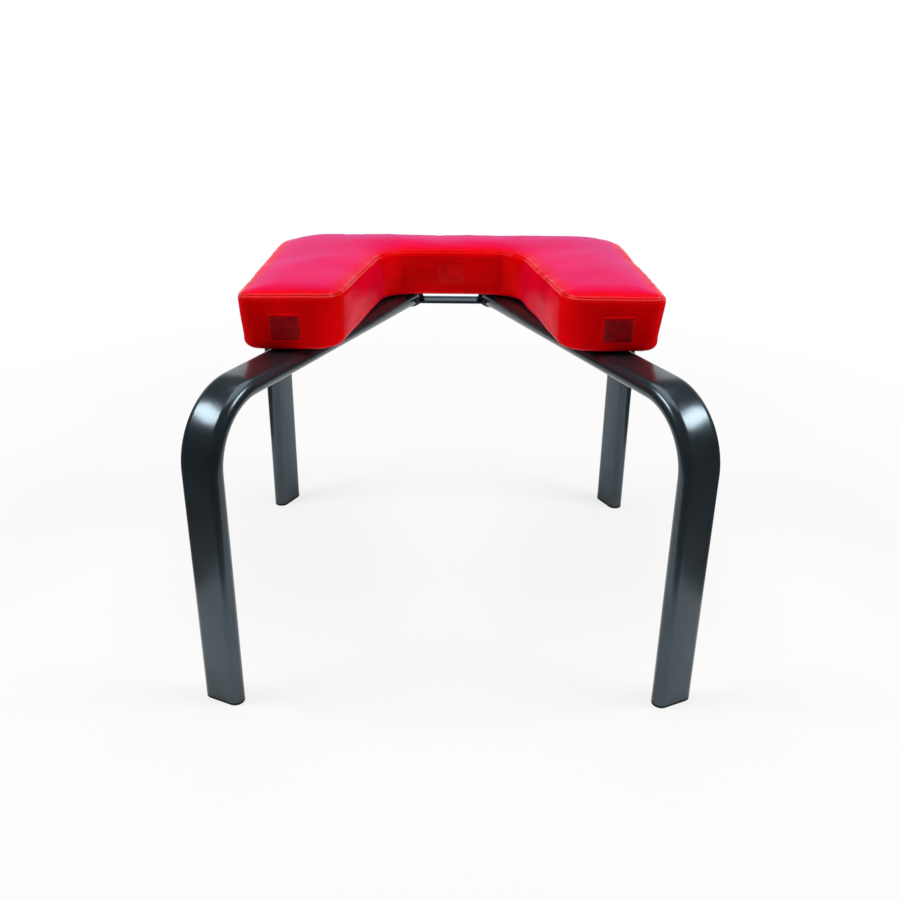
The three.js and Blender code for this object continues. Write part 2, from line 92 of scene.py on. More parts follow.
def new_material(name, values):
    """A material with a Principled shader, and where a pattern is read: on Object coordinates."""
    mat = bpy.data.materials.new(name)
    mat.use_nodes = True
    mat.node_tree.nodes.clear()
    surface = put(mat, "BsdfPrincipled", values, "BSDF")
    put(mat, "OutputMaterial", {"Surface": surface})
    return mat, surface.node, put(mat, "TexCoord", output="Object")


def per_metre(size_in_mm):
    """Scale of a texture whose pattern repeats about once in that size."""
    return 1 / (size_in_mm * MM)


print("Red #C4081C in linear light:", [round(part, 3) for part in linear("#C4081C")])

# %% Mesh helpers
def placed(name, data):
    """Makes an object and puts it in the scene."""
    made = bpy.data.objects.new(name, data)
    bpy.context.scene.collection.objects.link(made)
    return made


def mesh_of(name, bm):
    """Turns a bmesh into a mesh and frees it."""
    mesh = bpy.data.meshes.new(name)
    bm.to_mesh(mesh)
    bm.free()
    return mesh


def as_piece(name, bm, material, replaced):
    """Makes a finished mesh object of a bmesh, shaded smooth and attached to the root, and hides
    the CAD nodes it takes the place of.
    """
    mesh = mesh_of(name, bm)
    mesh.polygons.foreach_set("use_smooth", [True] * len(mesh.polygons))
    mesh.materials.append(material)
    piece = placed(name, mesh)
    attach(piece, "root")
    if replaced:
        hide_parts(*replaced)
    return piece


def baked(piece):
    """Applies the modifiers of a piece to its mesh."""
    graph = bpy.context.evaluated_depsgraph_get()
    mesh = bpy.data.meshes.new_from_object(piece.evaluated_get(graph))
    piece.modifiers.clear()
    piece.data = mesh


def sharp_by_angle(piece, degrees):
    """Keeps edges crisp where the faces turn by more than an angle."""
    piece.data.set_sharp_from_angle(angle=math.radians(degrees))
    return piece


# %% [markdown]
# ## Camera
#
# The photograph was taken from well above the height of the pad, looking down by 25 degrees. The
# camera's place and lens come from a fit of the four tubes' outlines in the photograph. A camera
# looks along its own -Z, so its matrix is made of the picture's right, up and back directions.

# %% Place the camera
CAMERA_PLACE = Vector((-5.85, -1010.94, 648.19)) * MM
CAMERA_YAW, CAMERA_PITCH, CAMERA_ROLL = map(math.radians, (0.347, 25.11, -0.613))
FOCAL_PIXELS, PICTURE_PIXELS, SENSOR = 996.96, 900, 36

ahead = Vector((math.sin(CAMERA_YAW) * math.cos(CAMERA_PITCH),
                math.cos(CAMERA_YAW) * math.cos(CAMERA_PITCH), -math.sin(CAMERA_PITCH)))
level = Vector((math.cos(CAMERA_YAW), -math.sin(CAMERA_YAW), 0))
plumb = ahead.cross(level)
right = math.cos(CAMERA_ROLL) * level + math.sin(CAMERA_ROLL) * plumb
down = -math.sin(CAMERA_ROLL) * level + math.cos(CAMERA_ROLL) * plumb
lens = bpy.data.cameras.new("camera")
lens.sensor_width = SENSOR
lens.lens = FOCAL_PIXELS / PICTURE_PIXELS * SENSOR
camera = placed("camera", lens)
turned = Matrix((right, -down, -ahead)).transposed().to_4x4()
camera.matrix_world = Matrix.Translation(CAMERA_PLACE) @ turned
bpy.context.scene.camera = camera
print(f"Lens: {lens.lens:.2f} mm")

# %% [markdown]
# ## Materials of the frame
#
# The tubes are mild steel with an anthracite powder coat that holds metal flakes. The coat gives
# the eye three things: a dark grey that brightens where it mirrors a light, a faint sparkle from
# the flakes, and the shallow waviness that coaters call orange peel. Flakes of 0.05 mm are too
# fine to show, so they are drawn at 0.5 mm. A flat picture of paint would stretch round the
# bends, so every pattern is computed in space, from the position on the piece.

# %% Anthracite powder coat
FLAKE, CLOUD, ORANGE_PEEL, SPARKLE = 0.5, 60, 2.2, 0.12


def powder_coat(name, greys, peel_depth, clear_coat=0.4, edge="#FFFFFF"):
    """Powder coat of two greys. edge is the tint of what it mirrors at a very low angle."""
    mat, shader, place = new_material(name, {
        "Metallic": 0.82, "Coat Weight": clear_coat, "Coat Roughness": 0.16, "Coat IOR": 1.5,
        "Specular Tint": linear(edge)})
    flakes = put(mat, "TexVoronoi", {"Vector": place, "Scale": per_metre(FLAKE)}, "Color")
    cloud = put(mat, "TexNoise", {"Vector": place, "Scale": per_metre(CLOUD), "Detail": 3}, "Fac")
    peel = put(mat, "TexNoise", {"Vector": place, "Scale": per_metre(ORANGE_PEEL), "Detail": 1},
               "Fac")
    grey = put(mat, "ValToRGB", {"Fac": cloud}, "Color")
    for element, stop, colour in zip(grey.node.color_ramp.elements, (0.3, 0.7), greys):
        element.position, element.color = stop, linear(colour)
    sparkle = put(mat, "Mix", {"Factor": SPARKLE, "A": grey, "B": flakes}, "Result",
                  data_type="RGBA", blend_type="OVERLAY")
    gloss = put(mat, "MapRange", {"Value": cloud, "To Min": 0.21, "To Max": 0.28}, "Result")
    waves = put(mat, "Bump", {"Height": peel, "Strength": 0.25, "Distance": peel_depth * MM},
                "Normal")
    feed(mat, shader, {"Base Color": sparkle, "Roughness": gloss, "Normal": waves})
    return mat


coated_tube = powder_coat("anthracite_powder_coat", ("#3B484F", "#46535B"), 0.08)
coated_weld = powder_coat("anthracite_powder_coat_on_weld", ("#384247", "#444F54"), 0.3)
coated_plate = powder_coat("grey_powder_coat_on_plate", ("#505F67", "#5A6972"), 0.05,
                           clear_coat=0.1, edge="#AAB8C2")
print("Coats:", [mat.name for mat in (coated_tube, coated_weld, coated_plate)])

# %% [markdown]
# The plugs are injection-moulded polyethylene: black, waxy and finely textured by a spark-eroded
# mould. Bolts, washers and tee nuts are zinc-plated steel, bright with a slightly uneven gloss.
# Both vary little, so one cloudy pattern drives the tone and the gloss together.

# %% Moulded plastic and zinc plate
MOULD_GRAIN, SCUFF, SPANGLE = 0.7, 14, 1.5


def moulded_plastic():
    mat, shader, place = new_material("black_moulded_polyethylene", {"Specular IOR Level": 0.3})
    grain = put(mat, "TexNoise", {"Vector": place, "Scale": per_metre(MOULD_GRAIN), "Detail": 2},
                "Fac")
    scuffs = put(mat, "TexNoise", {"Vector": place, "Scale": per_metre(SCUFF), "Detail": 5}, "Fac")
    black = put(mat, "ValToRGB", {"Fac": scuffs}, "Color")
    for element, stop, colour in zip(black.node.color_ramp.elements, (0.45, 0.75),
                                     ("#070708", "#151517")):
        element.position, element.color = stop, linear(colour)
    gloss = put(mat, "MapRange", {"Value": scuffs, "To Min": 0.42, "To Max": 0.6}, "Result")
    texture = put(mat, "Bump", {"Height": grain, "Strength": 0.4, "Distance": 0.04 * MM},
                  "Normal")
    feed(mat, shader, {"Base Color": black, "Roughness": gloss, "Normal": texture})
    return mat


def zinc_plate():
    mat, shader, place = new_material("bright_zinc_plate", {"Metallic": 1.0})
    spangle = put(mat, "TexVoronoi", {"Vector": place, "Scale": per_metre(SPANGLE)}, "Distance")
    grey = put(mat, "ValToRGB", {"Fac": spangle}, "Color")
    for element, colour in zip(grey.node.color_ramp.elements, ("#C3C7CC", "#A9AEB6")):
        element.color = linear(colour)
    gloss = put(mat, "MapRange", {"Value": spangle, "To Min": 0.22, "To Max": 0.4}, "Result")
    feed(mat, shader, {"Base Color": grey, "Roughness": gloss})
    return mat


plug_plastic = moulded_plastic()
zinc = zinc_plate()
print("Small parts:", plug_plastic.name, "and", zinc.name)

# %% [markdown]
# ## Bent legs
#
# Each leg is one piece of flat-oval tube, pressed round a former into a right-angle bend. A curve
# with a bevel shape could make it too, but its section can't be cut cleanly at a slant. So the
# bender's own steps are used: an oval of edges is extruded up the leg, spun round the bend and
# extruded along the run. The far end is then cut at the mitre, where it meets its partner.

# %% Sizes of the frame
TUBE_WIDTH, TUBE_THICKNESS, TUBE_WALL, BEND_RADIUS = 42 * MM, 18 * MM, 1.5 * MM, 64 * MM
APEX_HALF_SPACING, APEX_BEHIND_FRONT_FEET = 62 * MM, 334 * MM
PLUG_RIM, GAP = 2.5 * MM, 0.3 * MM
BOLT_HOLE = 8.6 * MM
LEGS = [(end, side) for end in ("front", "rear") for side in ("left", "right")]
TUBE_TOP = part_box("front_left_leg_tube")[1].z
TUBE_CENTRE = TUBE_TOP - TUBE_THICKNESS / 2
OVAL_STEPS, BEND_STEPS = 48, 28
print("Tube top at", round(TUBE_TOP / MM, 1), "mm")


def middle(node):
    """Middle of the box of a CAD node."""
    low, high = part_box(node)
    return (low + high) / 2


def apex(side):
    """Where the centre lines of the two tubes of a side meet."""
    foot = middle(f"front_{side}_foot_plug")
    x = math.copysign(APEX_HALF_SPACING, foot.x)
    return Vector((x, foot.y + APEX_BEHIND_FRONT_FEET, TUBE_CENTRE))


def run(end, side):
    """Direction and length of a leg in plan, from its foot to the apex."""
    line = apex(side) - middle(f"{end}_{side}_foot_plug")
    line.z = 0
    return line.normalized(), line.length


def oval(bm, width, thickness, height):
    """A flat-oval loop of edges with its thickness along X and its width along Y."""
    made = bmesh.ops.create_circle(bm, segments=OVAL_STEPS, radius=thickness / 2)["verts"]
    turn = Matrix.Rotation(math.pi / OVAL_STEPS, 3, "Z")
    bmesh.ops.rotate(bm, verts=made, cent=(0, 0, 0), matrix=turn)
    reach = (width - thickness) / 2
    for sign in (-1, 1):
        half = [v for v in made if v.co.y * sign > 0]
        bmesh.ops.translate(bm, verts=half, vec=(0, sign * reach, 0))
    bmesh.ops.translate(bm, verts=made, vec=(0, 0, height))
    return made


def verts_in(geom):
    return [g for g in geom if isinstance(g, bmesh.types.BMVert)]


def edges_in(geom):
    return [g for g in geom if isinstance(g, bmesh.types.BMEdge)]


def edges_of(verts):
    return list({e for v in verts for e in v.link_edges})


def onward(bm, edges, move):
    """Extrudes a loop of edges by a move and returns the new loop."""
    made = bmesh.ops.extrude_edge_only(bm, edges=edges)["geom"]
    bmesh.ops.translate(bm, verts=verts_in(made), vec=move)
    return edges_in(made)


def mitre_normal(end, side):
    """Direction across the mitre plane, away from the leg."""
    directions = {e: run(e, side)[0] for e in ("front", "rear")}
    nose = (directions["front"] + directions["rear"]).normalized()
    normal = Vector((-nose.y, nose.x, 0))
    return normal if normal.dot(directions[end]) > 0 else -normal


def to_leg(end, side):
    """Matrix that stands a leg built at the origin on its foot and turns it to the apex."""
    direction, _ = run(end, side)
    foot = middle(f"{end}_{side}_foot_plug")
    heading = math.atan2(direction.y, direction.x)
    return Matrix.Translation((foot.x, foot.y, 0)) @ Matrix.Rotation(heading, 4, "Z")


# %% Bend the four legs
JOIN, HOLE_STEPS, LEG_CREASE = 0.001 * MM, 32, 35


def cut_hole(piece, place):
    """Drills the hole for a pad bolt with a Boolean modifier."""
    bm = bmesh.new()
    bmesh.ops.create_cone(bm, cap_ends=True, segments=HOLE_STEPS, radius1=BOLT_HOLE / 2,
                          radius2=BOLT_HOLE / 2, depth=2 * TUBE_THICKNESS,
                          matrix=Matrix.Translation(place))
    drill = placed("drill", mesh_of("drill", bm))
    cut = piece.modifiers.new("hole", "BOOLEAN")
    cut.operation, cut.solver, cut.object = "DIFFERENCE", "EXACT", drill
    baked(piece)
    bpy.data.objects.remove(drill)


def thickened(piece, thickness, even=False):
    """Gives the skin of a piece a thickness, inwards."""
    wall = piece.modifiers.new("wall", "SOLIDIFY")
    wall.thickness, wall.offset, wall.use_even_offset = thickness, -1, even
    baked(piece)


def leg(end, side):
    """One tube: up from its plug, round the bend, along to the mitre, hollow, and drilled."""
    name, length = f"{end}_{side}_leg", run(end, side)[1]
    bm = bmesh.new()
    low = oval(bm, TUBE_WIDTH, TUBE_THICKNESS, PLUG_RIM + GAP)
    springing = TUBE_CENTRE - BEND_RADIUS
    edges = onward(bm, edges_of(low), (0, 0, springing - PLUG_RIM - GAP))
    bend = bmesh.ops.spin(bm, geom=edges, cent=(BEND_RADIUS, 0, springing), axis=(0, 1, 0),
                          angle=math.pi / 2, steps=BEND_STEPS)["geom_last"]
    onward(bm, edges_in(bend), (length + TUBE_WIDTH - BEND_RADIUS, 0, 0))
    bmesh.ops.remove_doubles(bm, verts=bm.verts, dist=JOIN)
    bmesh.ops.transform(bm, matrix=to_leg(end, side), verts=bm.verts)
    normal = mitre_normal(end, side)
    bmesh.ops.bisect_plane(bm, geom=bm.verts[:] + bm.edges[:] + bm.faces[:], clear_outer=True,
                           plane_co=apex(side) - normal * GAP / 2, plane_no=normal)
    bmesh.ops.recalc_face_normals(bm, faces=bm.faces)
    piece = as_piece(name, bm, coated_tube, [name + "_tube"])
    thickened(piece, TUBE_WALL, even=True)
    bolt = middle(f"{end}_{side}_pad_bolt")
    cut_hole(piece, (bolt.x, bolt.y, TUBE_CENTRE))
    return sharp_by_angle(piece, LEG_CREASE)


legs = [leg(*which) for which in LEGS]
print("Leg faces:", [len(o.data.polygons) for o in legs])

# %% [markdown]
# ## Weld beads and cross plate
#
# The two tubes of one side are welded round their mitre, and the bead is ground flush on top,
# where the pad lies. A hand-laid bead is a row of overlapping scales. A plain ring would look
# like a rubber gasket, so the scales are in the mesh: the cut edge of the tube is the path of the
# bead, and a small circle is carried along it and swells at every scale.

# %% Lay the mitre beads
BEAD_RADIUS, SCALE_LENGTH, SCALE_SWELL, BEAD_STEPS = 2.3 * MM, 2.2 * MM, 0.3 * MM, 10
LONG_EDGE, LONG_EDGE_CUTS, GROUND_OFF = 5 * MM, 39, 0.05 * MM


def mitre_path(side):
    """Points of the tube's outer section on the mitre plane, in order, about 0.6 mm apart."""
    bm = bmesh.new()
    oval(bm, TUBE_WIDTH, TUBE_THICKNESS, 0)
    direction, _ = run("front", side)
    turn = Matrix.Rotation(math.atan2(direction.y, direction.x), 3, "Z")
    lay = turn @ Matrix(((0, 0, 1), (0, 1, 0), (1, 0, 0)))
    bmesh.ops.rotate(bm, verts=bm.verts, cent=(0, 0, 0), matrix=lay)
    flats = [e for e in bm.edges if e.calc_length() > LONG_EDGE]
    bmesh.ops.subdivide_edges(bm, edges=flats, cuts=LONG_EDGE_CUTS)
    centre, normal = apex(side), mitre_normal("front", side)
    for v in bm.verts:
        v.co += centre
        v.co += direction * ((centre - v.co).dot(normal) / direction.dot(normal))
    first = bm.verts[:][0]
    path, edge = [first], first.link_edges[0]
    while len(path) < len(bm.verts):
        path.append(edge.other_vert(path[-1]))
        edge = next(e for e in path[-1].link_edges if e is not edge)
    points = [v.co.copy() for v in path]
    bm.free()
    return points


def bead(side):
    """A closed ring of weld round the mitre, ground flush on top."""
    points = mitre_path(side)
    bm = bmesh.new()
    normal, along, rings = mitre_normal("front", side), 0, []
    for i, point in enumerate(points):
        ahead_of = points[(i + 1) % len(points)]
        tangent = (ahead_of - points[i - 1]).normalized()
        radius = BEAD_RADIUS + SCALE_SWELL * abs(math.sin(math.pi * along / SCALE_LENGTH))
        ring = bmesh.ops.create_circle(bm, segments=BEAD_STEPS, radius=radius)["verts"]
        facing = Matrix((normal, tangent.cross(normal), tangent)).transposed()
        bmesh.ops.rotate(bm, verts=ring, cent=(0, 0, 0), matrix=facing)
        bmesh.ops.translate(bm, verts=ring, vec=point)
        rings.append(edges_of(ring))
        along += (ahead_of - point).length
    for i, ring in enumerate(rings):
        bmesh.ops.bridge_loops(bm, edges=ring + rings[(i + 1) % len(rings)])
    for v in bm.verts:
        v.co.z = min(v.co.z, TUBE_TOP - GROUND_OFF)
    bmesh.ops.recalc_face_normals(bm, faces=bm.faces)
    return as_piece(f"{side}_mitre_bead", bm, coated_weld, [f"{side}_mitre_weld"])


beads = [bead(side) for side in ("left", "right")]
print("Bead faces:", [len(o.data.polygons) for o in beads])

# %% [markdown]
# The cross plate is a sheared strip of 2.5 mm steel. It could be drawn again, but its CAD shape
# is right, so a copy of its mesh is merged, its flat faces are joined again, and its edges get
# the small radius that a coat leaves. The short fillet on each end is treated in the same way,
# with a rougher surface.

# %% Round the edges of the plate and its fillets
MERGE, FLAT_WITHIN, CREASE, PLATE_EDGE, FILLET_EDGE = 0.005 * MM, 1, 30, 0.4 * MM, 0.2 * MM


def rounded(bm, edges, radius, segments, clamp=False):
    """Bevels edges, by an offset that is their radius where they turn by a right angle."""
    bmesh.ops.bevel(bm, geom=edges, offset=radius, offset_type="OFFSET", segments=segments,
                    profile=0.5, affect="EDGES", material=-1, clamp_overlap=clamp)


def eased(name, node, material, radius):
    """A copy of a CAD node with its sharp edges rounded."""
    bm = bmesh.new()
    bm.from_mesh(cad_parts[node].data)
    bmesh.ops.remove_doubles(bm, verts=bm.verts, dist=MERGE)
    bmesh.ops.dissolve_limit(bm, angle_limit=math.radians(FLAT_WITHIN), verts=bm.verts,
                             edges=bm.edges)
    sharp = [e for e in bm.edges
             if len(e.link_faces) == 2 and e.calc_face_angle() > math.radians(CREASE)]
    rounded(bm, sharp, radius, 2, clamp=True)
    bmesh.ops.triangulate(bm, faces=[f for f in bm.faces if len(f.verts) > 4])
    return sharp_by_angle(as_piece(name, bm, material, [node]), CREASE)


bar = eased("cross_bar", "cross_plate", coated_plate, PLATE_EDGE)
for side in ("left", "right"):
    eased(f"{side}_plate_fillet", f"{side}_plate_weld", coated_weld, FILLET_EDGE)
print("Cross bar:", len(bar.data.polygons), "faces")

# %% [markdown]
# ## Foot plugs
#
# Each tube stands on a plug: a rounded flange as large as the tube, and a hollow insert that
# grips the bore. Separate rings could be joined to make it, but it is moulded in one piece, so it
# grows out of one oval face by extruding and insetting, and its rim gets a soft edge.

# %% Mould the foot plugs
PLUG_GRIP, PLUG_LENGTH, PLUG_EDGE, PLUG_CREASE = 2 * MM, 20 * MM, 0.8 * MM, 50
TINY = 0.01 * MM


def is_level(edge):
    return abs(edge.verts[0].co.z - edge.verts[1].co.z) < TINY


def extruded(bm, face, move):
    """Extrudes one face and moves the new face. Returns the new face."""
    made = bmesh.ops.extrude_face_region(bm, geom=[face])["geom"]
    bmesh.ops.translate(bm, verts=verts_in(made), vec=move)
    return next(g for g in made if isinstance(g, bmesh.types.BMFace))


def inset(bm, face, thickness):
    """Shrinks a face within its outline, by a band of new faces round it."""
    bmesh.ops.inset_region(bm, faces=[face], thickness=thickness, use_even_offset=True)


def hard_piece(name, bm, material, node, crease):
    """A piece in place of one CAD node, with its faces turned outwards."""
    bmesh.ops.recalc_face_normals(bm, faces=bm.faces)
    return sharp_by_angle(as_piece(name, bm, material, [node]), crease)


def plug(end, side):
    """A flange with soft edges, and a hollow insert on top of it."""
    bm = bmesh.new()
    outline = oval(bm, TUBE_WIDTH, TUBE_THICKNESS, 0)
    sole = bmesh.ops.contextual_create(bm, geom=outline)["faces"][0]
    extruded(bm, sole, (0, 0, PLUG_RIM))
    rounded(bm, [e for e in bm.edges if is_level(e)], PLUG_EDGE, 3)
    rim = max(bm.faces, key=lambda f: f.calc_center_median().z)
    inset(bm, rim, TUBE_WALL + GAP - PLUG_EDGE)
    top = extruded(bm, rim, (0, 0, PLUG_LENGTH))
    inset(bm, top, PLUG_GRIP)
    extruded(bm, top, (0, 0, -PLUG_LENGTH))
    bmesh.ops.delete(bm, geom=[f for f in (rim, top) if f.is_valid], context="FACES_ONLY")
    bmesh.ops.transform(bm, matrix=to_leg(end, side), verts=bm.verts)
    return hard_piece(f"{end}_{side}_plug", bm, plug_plastic, f"{end}_{side}_foot_plug",
                      PLUG_CREASE)


plugs = [plug(*which) for which in LEGS]
print("Plug faces:", [len(o.data.polygons) for o in plugs])

# %% [markdown]
# ## Pad bolts and washers
#
# Button-head bolts come up through the tubes into tee nuts in the board. Only heads and washers
# show, from below. A cylinder with rounded edges would have no dome, so a profile is spun into
# the round shapes as on a lathe, and the socket is a hexagon that is let into the head and pushed
# in.

# %% Turn the bolts and washers
HEAD_RADIUS, HEAD_HEIGHT, HEAD_LAND, SHANK_RADIUS = 7 * MM, 4.4 * MM, 1.4 * MM, 4 * MM
SOCKET_RADIUS, SOCKET_DEPTH = 2.9 * MM, 2.6 * MM
TURN_STEPS, DOME_ANGLES, BOLT_CREASE = 36, (30, 45, 60, 75, 90), 40
WASHER_EDGE, WASHER_CREASE = 0.3 * MM, 30


def spun(bm, profile):
    """Spins a chain of radius and height pairs about the upright axis."""
    verts = [bm.verts.new((radius, 0, height)) for radius, height in profile]
    edges = [bm.edges.new(pair) for pair in zip(verts, verts[1:])]
    bmesh.ops.spin(bm, geom=verts + edges, cent=(0, 0, 0), axis=(0, 0, 1), angle=2 * math.pi,
                   steps=TURN_STEPS, use_merge=True)
    bmesh.ops.remove_doubles(bm, verts=bm.verts, dist=TINY)


def bolt(end, side):
    """A button head with its socket, and a plain shank."""
    low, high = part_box(f"{end}_{side}_pad_bolt")
    seat = low.z + HEAD_HEIGHT
    dome = [(HEAD_RADIUS * math.sin(a), -HEAD_LAND - (HEAD_HEIGHT - HEAD_LAND) * math.cos(a))
            for a in map(math.radians, DOME_ANGLES)]
    bm = bmesh.new()
    spun(bm, [*dome, (HEAD_RADIUS, 0), (SHANK_RADIUS, 0), (SHANK_RADIUS, high.z - seat)])
    for height in (high.z - seat, dome[0][1]):
        rim = [e for e in bm.edges if e.is_boundary and abs(e.verts[0].co.z - height) < TINY]
        bmesh.ops.contextual_create(bm, geom=rim)
    face = min(bm.faces, key=lambda f: f.calc_center_median().z)
    hexagon = bmesh.ops.create_circle(bm, segments=6, radius=SOCKET_RADIUS,
                                      matrix=Matrix.Translation((0, 0, dome[0][1])))["verts"]
    rim, ring = list(face.edges), edges_of(hexagon)
    bmesh.ops.delete(bm, geom=[face], context="FACES_ONLY")
    bmesh.ops.bridge_loops(bm, edges=rim + ring)
    bmesh.ops.contextual_create(bm, geom=onward(bm, ring, (0, 0, SOCKET_DEPTH)))
    bmesh.ops.translate(bm, verts=bm.verts, vec=(*((low + high) / 2).xy, seat))
    return hard_piece(f"{end}_{side}_bolt", bm, zinc, f"{end}_{side}_pad_bolt",
                      BOLT_CREASE)


def flat_washer(end, side):
    """A ring with eased edges, as large as the CAD washer."""
    low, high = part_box(f"{end}_{side}_washer")
    outer, bore, edge = (high.x - low.x) / 2, SHANK_RADIUS + GAP, WASHER_EDGE
    thick = high.z - low.z
    bm = bmesh.new()
    spun(bm, [(bore, edge), (bore + edge, 0), (outer - edge, 0), (outer, edge),
              (outer, thick - edge), (outer - edge, thick), (bore + edge, thick),
              (bore, thick - edge), (bore, edge)])
    bmesh.ops.translate(bm, verts=bm.verts, vec=(*((low + high) / 2).xy, low.z))
    return hard_piece(f"{end}_{side}_flat_washer", bm, zinc, f"{end}_{side}_washer",
                      WASHER_CREASE)


bolts = [bolt(*which) for which in LEGS]
washers = [flat_washer(*which) for which in LEGS]
print("Bolt faces:", len(bolts[0].data.polygons), "washer faces:", len(washers[0].data.polygons))

# %% [markdown]
# ## Form of the pad
#
# The cushion is foam on a plywood board under a sewn vinyl cover. In plan it is a U with eight
# corners, and its walls lean in towards the floor, the one at the back of the opening most of
# all. A box with subdivision would round every corner alike, but here each has its own radius. So
# the form starts as a prism of eight corners. Its upright edges are bevelled to the corner radii,
# its walls are cut into rings, and its top and bottom grow by small insets that turn the edges
# round. Rings lie close together where the seam runs, so that it can be modelled.

# %% Sizes of the pad
PAD_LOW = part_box("pad_side_band")[0].z
PAD_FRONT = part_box("pad_side_band")[0].y
PAD_TOP = PAD_LOW + 58 * MM
CROWN, CROWN_SLOPE = 3.2 * MM, math.radians(12)
UPPER_RADIUS, LOWER_RADIUS = 8.5 * MM, 10 * MM
DRAW_IN, BACK_DRAW_IN = 3 * MM, 20 * MM
PAD_DEPTH, OPENING_DEPTH = 260 * MM, 176 * MM
CORNERS = [(x * MM, PAD_FRONT + y, radius * MM, draw_in) for x, y, radius, draw_in in (
    (-207, 0, 16, DRAW_IN), (-106, 0, 29, DRAW_IN),
    (-71.5, OPENING_DEPTH, 34, BACK_DRAW_IN), (71.5, OPENING_DEPTH, 34, DRAW_IN),
    (106, 0, 29, DRAW_IN), (207, 0, 16, DRAW_IN),
    (192, PAD_DEPTH, 58, DRAW_IN), (-192, PAD_DEPTH, 58, DRAW_IN))]
STATION, LEAST_STEPS, WALL_RINGS, FOOT_RINGS, HEM_REACH = 2 * MM, 6, 10, 6, 4.5 * MM
SEAM_ANGLE = math.radians(45)
SEAM_RINGS = [s * MM for s in (-5.2, -4, -3, -2.2, -1.5, -0.9, -0.45, -0.15,
                               0.15, 0.45, 0.9, 1.5, 2.2, 3, 4)]
print("Pad:", round((PAD_TOP - PAD_LOW) / MM), "mm thick,", round(PAD_DEPTH / MM), "mm deep")


def plan_corners(shrink, lean):
    """The eight corners, each wall moved in by shrink and by its draw-in, and the turns."""
    walls = []
    for i, (x, y, _, draw_in) in enumerate(CORNERS):
        onto = Vector(CORNERS[(i + 1) % len(CORNERS)][:2])
        heading = (onto - Vector((x, y))).normalized()
        inward = Vector((-heading.y, heading.x))
        walls.append((Vector((x, y)) + inward * (shrink + lean * draw_in), heading))
    points, turns = [], []
    for i, (start, heading) in enumerate(walls):
        before, arriving = walls[i - 1]
        reach = (start - before).cross(heading) / arriving.cross(heading)
        points.append(before + arriving * reach)
        turns.append(math.atan2(arriving.cross(heading), arriving.dot(heading)))
    return points, turns


def ring_in(bm, cap, band, rise, seam, at):
    """Insets and lifts the cap, and notes how far along the skin its rim lies from the seam."""
    inset(bm, cap, band)
    bmesh.ops.translate(bm, verts=cap.verts, vec=(0, 0, rise))
    for v in cap.verts:
        v[seam] = at


def rounded_prism(shrink, low, high, leans):
    """A closed prism of the pad's plan between two heights, its walls finely divided and its
    corners round. leans gives the share of the draw-in at its foot and at its head."""
    bm = bmesh.new()
    (feet, _), (heads, turns) = (plan_corners(shrink, lean) for lean in leans)
    bottom = [bm.verts.new((*p, low)) for p in feet]
    top = [bm.verts.new((*p, high)) for p in heads]
    uprights = [bm.edges.new(pair) for pair in zip(bottom, top)]
    rims = [[bm.edges.new((ring[i - 1], ring[i])) for i in range(len(ring))]
            for ring in (bottom, top)]
    bmesh.ops.bridge_loops(bm, edges=rims[0] + rims[1])
    for rim in rims:
        bmesh.ops.contextual_create(bm, geom=rim)
    for edge, turn, corner in zip(uprights, turns, CORNERS):
        radius = corner[2] - math.copysign(shrink, turn)
        rounded(bm, [edge], radius * math.tan(abs(turn) / 2),
                max(LEAST_STEPS, round(radius * abs(turn) / STATION)))
    spans = [[e for e in f.edges if is_level(e)] for f in bm.faces if len(f.verts) == 4]
    for span in spans:
        longest = max(e.calc_length() for e in span)
        if longest > 2 * STATION:
            cuts = round(longest / STATION) - 1
            bmesh.ops.subdivide_edges(bm, edges=span, cuts=cuts, use_grid_fill=True)
    bmesh.ops.recalc_face_normals(bm, faces=bm.faces)
    return bm


def caps_of(bm):
    """The lower and the upper cap: the only faces with more than four sides."""
    return sorted((f for f in bm.faces if len(f.verts) > 4), key=lambda f: f.calc_center_median().z)


def pad_form(shrink, hem=HEM_REACH):
    """The closed form of the pad, its whole skin moved in by shrink."""
    wall_low, wall_high = PAD_LOW + LOWER_RADIUS, PAD_TOP - UPPER_RADIUS
    bm = rounded_prism(shrink, wall_low, wall_high, (1, 0))
    uprights = [e for e in bm.edges if not is_level(e)]
    bmesh.ops.subdivide_edges(bm, edges=uprights, cuts=WALL_RINGS - 1, use_grid_fill=True)
    seam = bm.verts.layers.float.new("from_seam")
    for v in bm.verts:
        v[seam] = -UPPER_RADIUS * SEAM_ANGLE - (wall_high - v.co.z)
    lower, upper = caps_of(bm)
    angles = [SEAM_ANGLE + at / UPPER_RADIUS for at in SEAM_RINGS] + [math.pi / 2 - CROWN_SLOPE]
    radius = UPPER_RADIUS - shrink
    for a, b in zip([0.0, *angles], angles):
        ring_in(bm, upper, radius * (math.cos(a) - math.cos(b)),
                radius * (math.sin(b) - math.sin(a)), seam, (b - SEAM_ANGLE) * UPPER_RADIUS)
    angles = [k / FOOT_RINGS * math.pi / 2 for k in range(FOOT_RINGS + 1)]
    radius = LOWER_RADIUS - shrink
    for a, b in zip(angles, angles[1:]):
        ring_in(bm, lower, radius * (math.cos(a) - math.cos(b)),
                radius * (math.sin(a) - math.sin(b)), seam, -PAD_TOP)
    if hem:
        ring_in(bm, lower, hem, 0, seam, -PAD_TOP)
    return bm, seam


# %% [markdown]
# The crown is a shallow dome that rises from the seam to a flat middle. One big face can't bend,
# and long thin triangles would crease. A grid of points is laid over the one large top face,
# Blender's Delaunay triangulation joins it to the rim, and each point is then lifted by its
# distance from the rim.

# %% Fill and crown the top
CROWN_REACH, CROWN_MESH, RIM_CLEAR_SHARE, SAME_POINT = 31 * MM, 6 * MM, 0.6, 0.0001 * MM


